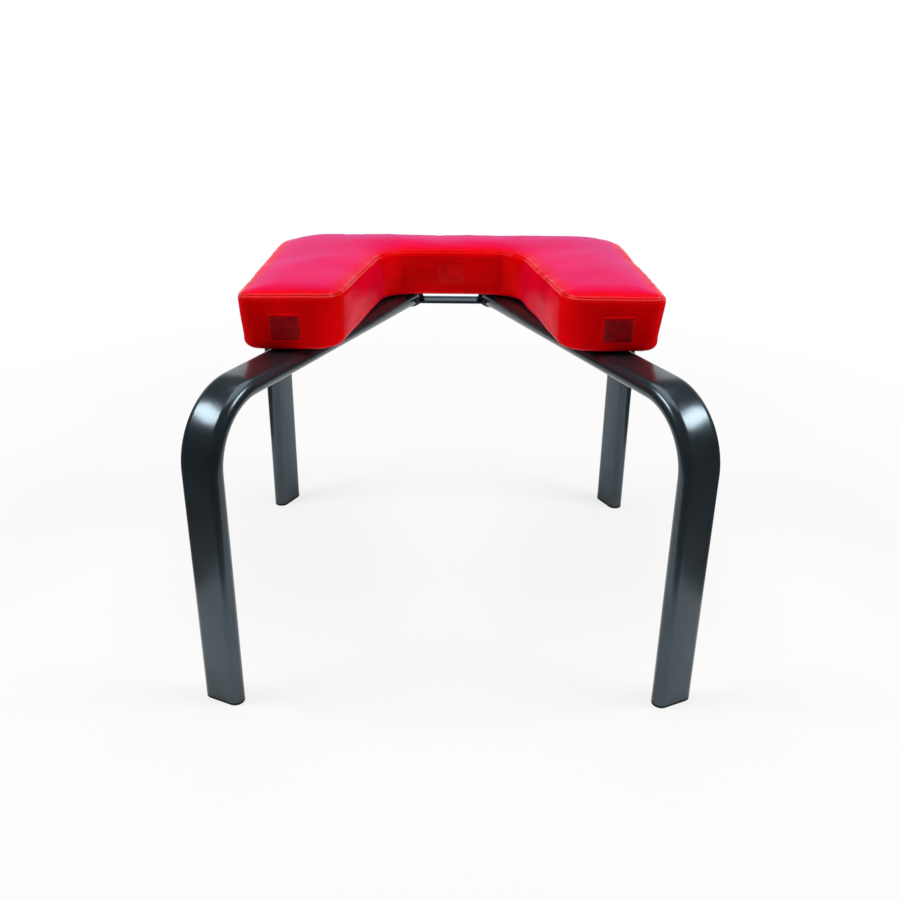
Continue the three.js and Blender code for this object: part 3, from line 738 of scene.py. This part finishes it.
def tree_of(points):
    """A tree that finds the nearest of some points."""
    tree = KDTree(len(points))
    for i, point in enumerate(points):
        tree.insert(point, i)
    tree.balance()
    return tree


def filled(bm, cap, cell):
    """Fills a cap with even triangles. Returns each new point with its distance from the rim."""
    rim, facing = cap.verts[:], cap.normal.z
    level = rim[0].co.z
    finder = tree_of([v.co for v in rim])
    sheet = BVHTree.FromPolygons([v.co for v in rim], [range(len(rim))])
    points = [v.co.xy for v in rim]
    low, high = [Vector([f(v.co[k] for v in rim) for k in range(2)]) for f in (min, max)]
    row = cell * math.sin(math.pi / 3)
    for j in range(1, int((high.y - low.y) / row)):
        for i in range(int((high.x - low.x) / cell)):
            point = Vector((low.x + (i + j % 2 / 2) * cell, low.y + j * row, level))
            inside = sheet.ray_cast(point + Vector((0, 0, MM)), Vector((0, 0, -1)))[0]
            if inside and finder.find(point)[2] > RIM_CLEAR_SHARE * cell:
                points.append(point.xy)
    triangles = delaunay_2d_cdt(points, [], [list(range(len(rim)))], 1, SAME_POINT)[2]
    bmesh.ops.delete(bm, geom=[cap], context="FACES_ONLY")
    verts = rim + [bm.verts.new((*point, level)) for point in points[len(rim):]]
    for triangle in triangles:
        face = bm.faces.new([verts[i] for i in triangle])
        face.normal_update()
        if face.normal.z * facing < 0:
            face.normal_flip()
    return [(v, finder.find(v.co)[2]) for v in verts[len(rim):]]


def crowned(bm, seam):
    """Fills the pad's top and lifts it to the crown."""
    cap = caps_of(bm)[1]
    start = cap.verts[0][seam]
    for v, distance in filled(bm, cap, CROWN_MESH):
        v[seam] = start + distance
        v.co.z += CROWN * (1 - (1 - min(1, distance / CROWN_REACH)) ** 2)


# %% [markdown]
# ## Stuffing
#
# Foam presses the cover out, and the seam and the board hold it back. An even swelling would look
# like a balloon, so a cloth simulation shows where the cover gives way: a coarse copy of the pad,
# built a little too small, is blown up for a few frames with gravity off, while its seam is held
# softly and its underside firmly. Only the movement is kept. It is read back at every point of
# the fine form, as a weighted mean of the nearest points of the coarse one.

# %% Blow up a coarse copy
TOO_SMALL, FARTHEST, VOXEL = 1 * MM, 3.5 * MM, 5 * MM
SIM_FRAMES, PRESSURE, STRETCH_STIFFNESS, SHEAR_STIFFNESS, BEND_STIFFNESS = 20, 25.0, 40, 20, 4
SEAM_GRIP, SEAM_HOLD, FIRM_SHARE, NEIGHBOURS = 0.8, 5 * MM, 0.5, 9


def bell(distance, width):
    """1 at no distance, and falling off smoothly within about a width."""
    return math.exp(-(distance / width) ** 2)


def stuffing_moves():
    """Simulates the coarse copy. Returns where its points start and how far each one moves."""
    form, seam = pad_form(TOO_SMALL)
    crowned(form, seam)
    along_skin = tree_of([v.co for v in form.verts])
    from_seam = [v[seam] for v in form.verts]
    coarse = placed("stuffing", mesh_of("stuffing", form))
    remesh = coarse.modifiers.new("voxels", "REMESH")
    remesh.mode, remesh.voxel_size, remesh.use_smooth_shade = "VOXEL", VOXEL, True
    baked(coarse)
    starts = [v.co.copy() for v in coarse.data.vertices]
    held = coarse.vertex_groups.new(name="held")
    for i, start in enumerate(starts):
        s = from_seam[along_skin.find(start)[1]]
        under = start.z < PAD_LOW + LOWER_RADIUS * FIRM_SHARE
        held.add([i], 1.0 if under else SEAM_GRIP * bell(s, SEAM_HOLD), "REPLACE")
    cloth = coarse.modifiers.new("vinyl", "CLOTH")
    cloth.settings.vertex_group_mass = "held"
    cloth.settings.use_pressure, cloth.settings.uniform_pressure_force = True, PRESSURE
    cloth.settings.effector_weights.gravity = 0
    cloth.settings.tension_stiffness = cloth.settings.compression_stiffness = STRETCH_STIFFNESS
    cloth.settings.shear_stiffness = SHEAR_STIFFNESS
    cloth.settings.bending_stiffness = BEND_STIFFNESS
    cloth.collision_settings.use_collision = False
    cloth.point_cache.frame_end = SIM_FRAMES
    for step in range(1, SIM_FRAMES + 1):
        bpy.context.scene.frame_set(step)
    baked(coarse)
    moves = [v.co - start for v, start in zip(coarse.data.vertices, starts)]
    bpy.context.scene.frame_set(1)
    bpy.data.objects.remove(coarse)
    return starts, [move * min(1, FARTHEST / max(move.length, TINY)) for move in moves]


def stuffed(bm, shrink, starts, moves):
    """Moves the points of a form, built with a shrink, as the coarse copy moved, and makes up for
    the smaller size of that copy. The underside keeps its place."""
    near = tree_of(starts)
    bm.normal_update()
    goals = []
    for v in bm.verts:
        share_sum, move = 0.0, Vector()
        for _, i, distance in near.find_n(v.co + v.normal * (shrink - TOO_SMALL), NEIGHBOURS):
            share = bell(distance, VOXEL)
            share_sum, move = share_sum + share, move + moves[i] * share
        above_hem = min(1, max(0, (v.co.z - PAD_LOW) / LOWER_RADIUS - FIRM_SHARE))
        goals.append((move / share_sum - v.normal * TOO_SMALL) * above_hem)
    for v, goal in zip(bm.verts, goals):
        v.co += goal


# %% [markdown]
# ## Sewn relief
#
# The top panel and the side band meet in a plain seam at 45 degrees on the upper edge. The thread
# pulls it into a narrow groove, the vinyl swells on both sides of it, and the fullness that the
# stitches gather makes short puckers that fade out along the walls. Where the back wall of the
# opening meets its sides, the cover folds softly from top to bottom. A bump in the material could
# draw all this, but the outline would stay smooth, so the points of the mesh are moved.

# %% Seam, puckers and folds
GROOVE_DEPTH, GROOVE_WIDTH = 0.5 * MM, 0.4 * MM
LIP_HEIGHT, LIP_FROM_SEAM, LIP_WIDTH = 0.45 * MM, 1.7 * MM, 1.1 * MM
PUCKER_HEIGHT, PUCKER_PITCH, PUCKER_REACH = 0.45 * MM, 9 * MM, 8 * MM
WAVE_HEIGHT, WAVE_PITCH = 1.1 * MM, 44 * MM
FOLD_DEPTH, FOLD_WIDTH, FOLD_X = 1.8 * MM, 3.6 * MM, 56 * MM
FOLD_STARTS, FOLD_GROWS, FINER = 4 * MM, 10 * MM, 2.6
FOLD_FRONT, FOLD_BACK = PAD_FRONT + OPENING_DEPTH / 2, PAD_FRONT + OPENING_DEPTH + 20 * MM


def relief(place, s):
    """Height of the sewn details over the plain skin, s from the seam."""
    height = -GROOVE_DEPTH * math.exp(-abs(s) / GROOVE_WIDTH)
    height += LIP_HEIGHT * bell(abs(s) - LIP_FROM_SEAM, LIP_WIDTH)
    height += PUCKER_HEIGHT * noise.noise(place / PUCKER_PITCH) * bell(s, PUCKER_REACH)
    height += (PUCKER_HEIGHT / 2 * noise.noise(place / PUCKER_PITCH * FINER)
               * bell(s, PUCKER_REACH / 2))
    height += WAVE_HEIGHT * noise.noise(place / WAVE_PITCH)
    if abs(place.x) < 2 * FOLD_X and FOLD_FRONT < place.y < FOLD_BACK:
        down_the_wall = min(1, max(0, (-s - FOLD_STARTS) / FOLD_GROWS))
        height -= FOLD_DEPTH * bell(abs(place.x) - FOLD_X, FOLD_WIDTH) * down_the_wall
    return height


def sewn(bm, seam):
    """Lifts each point of a form by the relief over it."""
    bm.normal_update()
    heights = [relief(v.co, v[seam]) for v in bm.verts]
    normals = [v.normal.copy() for v in bm.verts]
    for v, height, normal in zip(bm.verts, heights, normals):
        v.co += normal * height


# %% [markdown]
# ## Vinyl
#
# The cover is a soft PVC on knit cloth. Its skin is embossed with a fine leather grain. It is
# pure red seen face on, and scatters a pink bloom where it is seen at a low angle, most of all on
# top. Towards the seam, where the vinyl is stretched, the bloom fades out. The lips of the seam
# shine, most of all at the ends of the arms, which the hands polish. Painted colours would only
# fit one view. The bloom is a sheen instead, and the mesh carries each point's distance from the
# seam, so that the finish follows the seam.

# %% Vinyl, thread, foam and felt
LIP_GLOSS, UNWORN_LIP_GLOSS, WORN_REACH, SHINY_REACH = 0.32, 0.08, 90 * MM, 5 * MM
STRETCHED_ROUGHNESS, PLAIN_ROUGHNESS = 0.2, 0.28
BLOOM_RAMP, BLOOM_REACH = 0.14, 20 * MM
RED_CLOUD, LEATHER_GRAIN, CREASE_PITCH = 45, 0.9, 6
SOFT_ENDS = {"interpolation_type": "SMOOTHSTEP"}


def vinyl(name, base, bloom, bloom_from, bloom_at_seam, gloss):
    """Vinyl of two close reds. The stretched vinyl next to the seam is smoother and shinier."""
    mat, shader, place = new_material(name, {"Sheen Roughness": 0.45,
                                             "Sheen Tint": linear("#FF38D8")})
    facing = put(mat, "LayerWeight", {"Blend": 0.5}, "Facing")
    low_angle = put(mat, "MapRange", {"Value": facing, "From Min": bloom_from,
                                      "From Max": bloom_from + BLOOM_RAMP, "To Max": bloom},
                    "Result", **SOFT_ENDS)
    from_seam = put(mat, "Attribute", output="Fac", attribute_name="from_seam")
    away = put(mat, "Math", {0: from_seam}, "Value", operation="ABSOLUTE")
    relaxed = put(mat, "MapRange", {"Value": away, "From Max": BLOOM_REACH,
                                    "To Min": bloom_at_seam}, "Result", **SOFT_ENDS)
    pink = put(mat, "Math", {0: low_angle, 1: relaxed}, "Value", operation="MULTIPLY")
    along = put(mat, "SeparateXYZ", {"Vector": place}, "Y")
    polish = put(mat, "MapRange", {"Value": along, "From Min": PAD_FRONT,
                                   "From Max": PAD_FRONT + WORN_REACH, "To Min": LIP_GLOSS,
                                   "To Max": UNWORN_LIP_GLOSS}, "Result", **SOFT_ENDS)
    near_seam = {"Value": away, "From Min": LIP_FROM_SEAM, "From Max": SHINY_REACH}
    shine = put(mat, "MapRange", {**near_seam, "To Min": polish, "To Max": gloss}, "Result",
                **SOFT_ENDS)
    roughness = put(mat, "MapRange", {**near_seam, "To Min": STRETCHED_ROUGHNESS,
                                      "To Max": PLAIN_ROUGHNESS}, "Result", **SOFT_ENDS)
    cloud = put(mat, "TexNoise", {"Vector": place, "Scale": per_metre(RED_CLOUD), "Detail": 3},
                "Fac")
    red = put(mat, "ValToRGB", {"Fac": cloud}, "Color")
    for element, stop, colour in zip(red.node.color_ramp.elements, (0.3, 0.7), base):
        element.position, element.color = stop, linear(colour)
    grain = put(mat, "TexVoronoi", {"Vector": place, "Scale": per_metre(LEATHER_GRAIN)},
                "Distance", feature="DISTANCE_TO_EDGE")
    creases = put(mat, "TexNoise", {"Vector": place, "Scale": per_metre(CREASE_PITCH),
                                    "Detail": 4}, "Fac")
    fine = put(mat, "Bump", {"Height": grain, "Strength": 0.2, "Distance": 0.05 * MM}, "Normal")
    broad = put(mat, "Bump", {"Height": creases, "Strength": 0.3, "Distance": 0.15 * MM,
                              "Normal": fine}, "Normal")
    feed(mat, shader, {"Base Color": red, "Sheen Weight": pink, "Specular IOR Level": shine,
                       "Roughness": roughness, "Normal": broad})
    return mat


def plain_noise(name, base, pitch, values, depth):
    """A material with two tones and a bump, both from noise of one pitch in mm."""
    mat, shader, place = new_material(name, values)
    speckle = put(mat, "TexNoise", {"Vector": place, "Scale": per_metre(pitch), "Detail": 4},
                  "Fac")
    tint = put(mat, "ValToRGB", {"Fac": speckle}, "Color")
    for element, stop, colour in zip(tint.node.color_ramp.elements, (0.35, 0.65), base):
        element.position, element.color = stop, linear(colour)
    bump = put(mat, "Bump", {"Height": speckle, "Strength": 0.5, "Distance": depth * MM},
               "Normal")
    feed(mat, shader, {"Base Color": tint, "Normal": bump})
    return mat


red_vinyl = vinyl("red_pvc_vinyl_top_panel", ("#DE0006", "#EC010B"), 1.0, 0.44, 0.15, 0.03)
band_vinyl = vinyl("red_pvc_vinyl_side_band", ("#D20003", "#F40007"), 0.1, 0.55, 1.0, 0.012)
patch_vinyl = plain_noise("dark_red_pvc_vinyl", ("#86000A", "#A6020A"), 7,
                          {"Roughness": 0.35, "Specular IOR Level": 0.1}, 0.1)
pale_patch_vinyl = plain_noise("red_pvc_vinyl_patch", ("#D00003", "#E80005"), 7,
                               {"Roughness": 0.35, "Specular IOR Level": 0.04}, 0.1)
thread = plain_noise("red_polyester_thread", ("#B8101C", "#D82834"), 0.5,
                     {"Roughness": 0.6, "Specular IOR Level": 0.1}, 0.1)
foam_grey = plain_noise("polyurethane_foam", ("#DDD2B4", "#EFE7CF"), 1.2, {"Roughness": 0.95}, 0.3)
felt = plain_noise("black_nonwoven_cloth", ("#0E0E10", "#1C1C1F"), 0.6,
                   {"Roughness": 0.95, "Sheen Weight": 0.2}, 0.15)
print("Pad materials:", [mat.name for mat in (red_vinyl, band_vinyl, patch_vinyl, pale_patch_vinyl,
                                              thread, foam_grey, felt)])

# %% Make the cover
COVER_THICKNESS = 1.2 * MM
bm, seam = pad_form(0)
crowned(bm, seam)
starts, moves = stuffing_moves()
if moves:
    lengths = sorted(move.length / MM for move in moves)
    print(f"Stuffing moves {len(moves)} points by up to {lengths[-1]:.2f} mm,",
          f"half of them by more than {lengths[len(moves) // 2]:.2f} mm")
    stuffed(bm, 0, starts, moves)
sewn(bm, seam)
bmesh.ops.delete(bm, geom=caps_of(bm), context="FACES_ONLY")
skin = BVHTree.FromBMesh(bm)
for face in bm.faces:
    face.material_index = int(min(v[seam] for v in face.verts) < 0)
cover = as_piece("pad_cover", bm, red_vinyl, ["pad_top_panel", "pad_side_band"])
cover.data.materials.append(band_vinyl)
thickened(cover, COVER_THICKNESS)
print("Cover:", len(cover.data.polygons), "faces")

# %% [markdown]
# ## Inside and underneath
#
# The foam block fills the cover and wraps round the board's edge, so it has a pocket with the
# board's chamfered outline. A black cloth is stapled under the board to hide the hem.

# %% Foam block
FOAM_INSET, POCKET_GAP = 2.3 * MM, 0.3 * MM
BOARD_LOW, BOARD_TOP = (corner.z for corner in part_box("pad_base_board"))
BOARD_INSET, BOARD_CHAMFER = 6 * MM, 6 * MM

bm, seam = pad_form(FOAM_INSET, hem=0)
crowned(bm, seam)
if moves:
    stuffed(bm, FOAM_INSET, starts, moves)
sewn(bm, seam)
pocket = caps_of(bm)[0]
for v in pocket.verts:
    v.co.z = PAD_LOW + FOAM_INSET
mouth = BOARD_INSET + BOARD_CHAMFER - (PAD_LOW + FOAM_INSET - BOARD_LOW) - POCKET_GAP
step_out = mouth - (BOARD_INSET - POCKET_GAP)
ring_in(bm, pocket, mouth - LOWER_RADIUS, 0, seam, 0)
ring_in(bm, pocket, -step_out, step_out, seam, 0)
ring_in(bm, pocket, 0, BOARD_TOP + POCKET_GAP - pocket.verts[0].co.z, seam, 0)
bmesh.ops.triangulate(bm, faces=[pocket])
bmesh.ops.recalc_face_normals(bm, faces=bm.faces)
foam = as_piece("foam_block", bm, foam_grey, ["pad_foam"])
print("Foam:", len(foam.data.polygons), "faces")

# %% Dust cover
DUST_INSET, DUST_THICKNESS, DUST_CELL = 13 * MM, 0.8 * MM, 7 * MM
DUST_HEM, DUST_WAVE, DUST_PITCH, DUST_CREASE = 8 * MM, 0.25 * MM, 28 * MM, 40
dust_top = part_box("pad_dust_cover")[1].z - DUST_WAVE
bm = rounded_prism(DUST_INSET, dust_top - DUST_THICKNESS, dust_top, (1, 1))
dust_area = caps_of(bm)[0].calc_area()
for cap in caps_of(bm):
    for v, distance in filled(bm, cap, DUST_CELL):
        lift = noise.noise(Vector((v.co.x, v.co.y, 0)) / DUST_PITCH)
        v.co.z += DUST_WAVE * lift * min(1, distance / DUST_HEM)
dust_cover = as_piece("dust_cover", bm, felt, ["pad_dust_cover"])
sharp_by_angle(dust_cover, DUST_CREASE)

# %% [markdown]
# ## Patches
#
# A small patch of vinyl is sewn to the front of each arm and to the back wall of the opening.
# Those on the arms are dark red within a brighter rim, and the one in the opening is hardly
# darker than the cover. A flat plate would stand off the stuffed wall, so each follows the wall
# under it, which is found by rays. Its edges are turned under, and a row of stitches sinks into
# it two millimetres from the edge.

# %% Sew the patches
PATCH_WIDTH, PATCH_HEIGHT, PATCH_CORNER = 31 * MM, 28 * MM, 2 * MM
PATCH_THICKNESS, PATCH_EDGE, PATCH_PUFF, PATCH_LIFT = 1.0 * MM, 0.9 * MM, 0.35 * MM, 0.05 * MM
PATCH_CELLS, PATCH_RIM, SEWN_IN = (80, 75), 1.5 * MM, 2 * MM
SUNK, SUNK_WIDTH = 0.5 * MM, 0.55 * MM
PUFF_REACH, PROBE_SPAN, PROBE_START, PROBE_LIFT = 4 * MM, 8 * MM, 50 * MM, 10 * MM
STITCH_LENGTH, STITCH_PITCH, STITCH_RADIUS = 2.6 * MM, 3.6 * MM, 0.3 * MM


def patch_height(u, v):
    """Height of a patch over the wall at a point measured from the patch's middle."""
    over = Vector((max(abs(u) - PATCH_WIDTH / 2 + PATCH_CORNER, 0),
                   max(abs(v) - PATCH_HEIGHT / 2 + PATCH_CORNER, 0)))
    straight = min(PATCH_WIDTH / 2 - abs(u), PATCH_HEIGHT / 2 - abs(v))
    inside = PATCH_CORNER - over.length if over.length > 0 else straight
    share = min(1, max(0, inside / PATCH_EDGE))
    puff = min(1, max(0, inside - SEWN_IN) / PUFF_REACH)
    return (PATCH_THICKNESS * math.sqrt(1 - (1 - share) ** 2) + PATCH_PUFF * puff * (2 - puff)
            - SUNK * bell(inside - SEWN_IN, SUNK_WIDTH))


def patch_frame(x, drop):
    """Middle of a patch on the wall, and the patch's directions across, up and outward."""
    starts = [Vector((x, PAD_FRONT - PROBE_START, PAD_TOP - drop + rise))
              for rise in (0, PROBE_SPAN, -PROBE_SPAN)]
    centre, above, below = (skin.ray_cast(start, Vector((0, 1, 0)))[0] for start in starts)
    across, up = Vector((1, 0, 0)), (above - below).normalized()
    return centre, across, up, across.cross(up)


def on_wall(place, u, v, lift):
    """A point of the wall under a patch, lifted off it."""
    centre, across, up, outward = place
    start = centre + across * u + up * v + outward * PROBE_LIFT
    return skin.ray_cast(start, -outward)[0] + outward * lift


def sewn_patch(where, x, drop, material):
    """A grid of two layers laid on the wall, its corners rounded, and its row of stitches."""
    place = patch_frame(x, drop)
    bm = bmesh.new()
    bmesh.ops.create_grid(bm, x_segments=PATCH_CELLS[0], y_segments=PATCH_CELLS[1], size=0.5)
    bmesh.ops.extrude_face_region(bm, geom=bm.faces[:], use_keep_orig=True)
    bm.verts.index_update()
    count, rim = len(bm.verts) // 2, set()
    for i, vert in enumerate(bm.verts):
        u, v = vert.co.x * PATCH_WIDTH, vert.co.y * PATCH_HEIGHT
        a = (abs(u) - PATCH_WIDTH / 2) / PATCH_CORNER + 1
        b = (abs(v) - PATCH_HEIGHT / 2) / PATCH_CORNER + 1
        if a > 0 and b > 0:
            shrink = max(a, b) / math.hypot(a, b)
            u = math.copysign(PATCH_WIDTH / 2 + (a * shrink - 1) * PATCH_CORNER, u)
            v = math.copysign(PATCH_HEIGHT / 2 + (b * shrink - 1) * PATCH_CORNER, v)
        lift = PATCH_LIFT + (patch_height(u, v) + PATCH_LIFT if i >= count else 0)
        vert.co = on_wall(place, u, v, lift)
        if min(PATCH_WIDTH / 2 - abs(u), PATCH_HEIGHT / 2 - abs(v)) < PATCH_RIM:
            rim.add(vert)
    for face in bm.faces:
        face.material_index = int(any(vert in rim for vert in face.verts))
    bmesh.ops.recalc_face_normals(bm, faces=bm.faces)
    patch = as_piece(f"{where}_sewn_patch", bm, material, [f"{where}_patch"])
    patch.data.materials.append(pale_patch_vinyl)
    stitches = bmesh.new()
    size = Matrix.Diagonal((STITCH_LENGTH / 2, STITCH_RADIUS, STITCH_RADIUS, 1))
    half_u, half_v = PATCH_WIDTH / 2 - SEWN_IN, PATCH_HEIGHT / 2 - SEWN_IN
    for axis, half, other in ((0, half_u, half_v), (1, half_v, half_u)):
        number = round(2 * half / STITCH_PITCH)
        for side in (-1, 1):
            for k in range(number):
                at = ((k + 0.5) / number * 2 - 1) * half
                u, v = (at, side * other) if axis == 0 else (side * other, at)
                along, outward = place[1 + axis], place[3]
                at_stitch = on_wall(place, u, v, patch_height(u, v) + 2 * PATCH_LIFT)
                turn = Matrix((along, outward.cross(along), outward)).transposed().to_4x4()
                bmesh.ops.create_uvsphere(stitches, u_segments=8, v_segments=6, radius=1,
                                          matrix=Matrix.Translation(at_stitch) @ turn @ size)
    as_piece(f"{where}_sewn_patch_stitches", stitches, thread, [])
    return place


ARM_PATCH_X, ARM_DROP, BACK_DROP = 159.5 * MM, 34 * MM, 29 * MM
for where, x, drop, material in (("left_arm", -ARM_PATCH_X, ARM_DROP, patch_vinyl),
                                 ("right_arm", ARM_PATCH_X, ARM_DROP, patch_vinyl),
                                 ("opening", 0, BACK_DROP, pale_patch_vinyl)):
    centre, *_, outward = sewn_patch(where, x, drop, material)
    print(where, "patch lies at", [round(c / MM, 1) for c in centre],
          "facing", [round(c, 2) for c in outward])

# %% [markdown]
# The board and the tee nuts stay as the CAD model has them. They only need their materials: birch
# plywood of two tones, and the same zinc plate as the bolts.

# %% Plywood and tee nuts
plywood = plain_noise("birch_plywood", ("#C49A62", "#D8B47E"), 9, {"Roughness": 0.75}, 0.2)
for name, material in [("pad_base_board", plywood),
                       *((f"{end}_{side}_tee_nut", zinc) for end, side in LEGS)]:
    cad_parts[name].data.materials.clear()
    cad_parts[name].data.materials.append(material)
    print(name, "is", material.name)

# %% [markdown]
# ## Floor and background
#
# The stool stands on white seamless paper. To the eye and in mirror reflections the paper glows
# softly by itself, more and more with the distance from the stool, so that it runs into the white
# background without a horizon. Near the stool it is lit by the lamps too and keeps the shadow,
# and what the legs mirror there is only the lit paper.

# %% Floor
FLOOR_REACH, GLOW_NEAR, GLOW_FROM, GLOW_TO = 60, 0.75, 0.4, 1.2


def seen_directly(mat):
    """1 for rays of the camera, of a mirror reflection or through glass, and 0 for all others."""
    path = put(mat, "LightPath").node.outputs
    last = path["Is Camera Ray"]
    for kind in ("Is Glossy Ray", "Is Transmission Ray"):
        last = put(mat, "Math", {0: last, 1: path[kind]}, "Value", operation="MAXIMUM")
    return last


def stage_plane(name, corners, material):
    """A flat stage object from its corners."""
    mesh = bpy.data.meshes.new(name)
    mesh.from_pydata(corners, [], [range(len(corners))])
    mesh.materials.append(material)
    made = placed(name, mesh)
    return made


paper, shader, place = new_material("white_seamless_paper", {
    "Base Color": linear("#FAFAFA"), "Roughness": 0.9, "Specular IOR Level": 0.1})
distance = put(paper, "VectorMath", {"Vector": place}, "Value", operation="LENGTH")
near = put(paper, "Math", {0: put(paper, "LightPath", output="Is Camera Ray"), 1: GLOW_NEAR},
           "Value", operation="MULTIPLY")
far = put(paper, "MapRange", {"Value": distance, "From Min": GLOW_FROM, "From Max": GLOW_TO,
                              "To Min": near}, "Result", **SOFT_ENDS)
share = put(paper, "Math", {0: far, 1: seen_directly(paper)}, "Value", operation="MULTIPLY")
glow = put(paper, "Emission", {"Strength": 1.0}, "Emission")
blend = put(paper, "MixShader", {"Fac": share, 1: shader.outputs["BSDF"], 2: glow}, "Shader")
output = next(n for n in paper.node_tree.nodes if n.type == "OUTPUT_MATERIAL")
feed(paper, output, {"Surface": blend})
corners = [(x * FLOOR_REACH, y * FLOOR_REACH, 0) for x, y in ((-1, -1), (1, -1), (1, 1), (-1, 1))]
stage_plane("floor", corners, paper)
print("Floor:", 2 * FLOOR_REACH, "m square of", paper.name)

# %% [markdown]
# ## Light
#
# One large soft lamp hangs over the stool and one stands at each side, where the bends of the
# front legs mirror it. Low grey flags to the left, the right and the front are only there for
# reflections: they are painted shade, dark sheets that darken what the legs and the front of the
# pad mirror, as in the photograph. Their grey is painted paler near the floor, a painted
# reflection of the lit paper there. To the eye the world is white. What surfaces mirror of it is
# white behind the stool, up to the height of a backdrop, and dark elsewhere.

# %% Lamps and flags
def softbox(name, place, aim, size, power):
    """A rectangular lamp: place, aim and size in metres, power in watts."""
    lamp = bpy.data.lights.new(name, "AREA")
    lamp.shape, lamp.size, lamp.size_y, lamp.energy = "RECTANGLE", *size, power
    made = placed(name, lamp)
    made.location = place
    made.rotation_euler = (Vector(aim) - Vector(place)).to_track_quat("-Z", "Y").to_euler()
    made.visible_camera = False


softbox("overhead", (0, 0.2, 1.7), (0, 0, 0.2), (1.4, 1.2), 10)
for name, x in (("left", -1.3), ("right", 1.3)):
    softbox(name, (x, -0.28, 1.47), (0, 0, 0.25), (0.78, 0.45), 14)

SHADE_LOW, SHADE_HIGH, GREY_LOW, GREY_HIGH = 0.02, 0.15, 0.25, 0.12
painted_shade_flag, shader, place = new_material("grey_painted_shade_flag", {
    "Roughness": 1.0, "Specular IOR Level": 0.0})
# Painted shade and painted reflection: the flag's grey is paler near the floor and darker higher
# up.
above_floor = put(painted_shade_flag, "SeparateXYZ", {"Vector": place}, "Z")
shade = put(painted_shade_flag, "MapRange", {"Value": above_floor, "From Min": SHADE_LOW,
                                    "From Max": SHADE_HIGH, "To Min": GREY_LOW,
                                    "To Max": GREY_HIGH}, "Result", **SOFT_ENDS)
feed(painted_shade_flag, shader, {"Base Color": shade})
SIDE, FRONT, BACK, FLAG_LOW, FLAG_HIGH = 0.42, -0.42, 0.35, 0.01, 0.34
for name, (x0, y0), (x1, y1) in (
        ("left_flag", (-SIDE, FRONT), (-SIDE, BACK)), ("right_flag", (SIDE, BACK), (SIDE, FRONT)),
        ("front_flag", (SIDE, FRONT), (-SIDE, FRONT))):
    corners = [(x0, y0, FLAG_LOW), (x1, y1, FLAG_LOW), (x1, y1, FLAG_HIGH), (x0, y0, FLAG_HIGH)]
    flag = stage_plane(name, corners, painted_shade_flag)
    flag.visible_camera = flag.visible_diffuse = False
    flag.visible_shadow = flag.visible_transmission = False
    print(name, "is seen in reflections only:", not flag.visible_camera)

# %% World
WORLD_LIGHT, TILT, BACKDROP_TOP, CEILING, CEILING_GREY = 0.2, -0.6, -0.24, 0, 0.12
world = bpy.data.worlds.new("studio")
world.use_nodes = True
background = world.node_tree.nodes["Background"]
background.inputs["Color"].default_value = linear("#FFFFFF")
towards = put(world, "VectorMath", {0: put(world, "TexCoord", output="Generated"), 1: (0, TILT, 1)},
              "Value", operation="DOT_PRODUCT")
mirrored = put(world, "MapRange", {"Value": towards, "From Min": BACKDROP_TOP,
                                   "From Max": CEILING, "To Min": 1, "To Max": CEILING_GREY},
               "Result")
brightest = put(world, "Math", {0: put(world, "LightPath", output="Is Camera Ray"), 1: mirrored},
                "Value", operation="MAXIMUM")
strength = put(world, "MapRange", {"Value": seen_directly(world), "To Min": WORLD_LIGHT,
                                   "To Max": brightest}, "Result")
feed(world, background, {"Strength": strength})
bpy.context.scene.world = world
bpy.context.scene.view_settings.view_transform = "Standard"
print("World:", len(world.node_tree.nodes), "nodes")
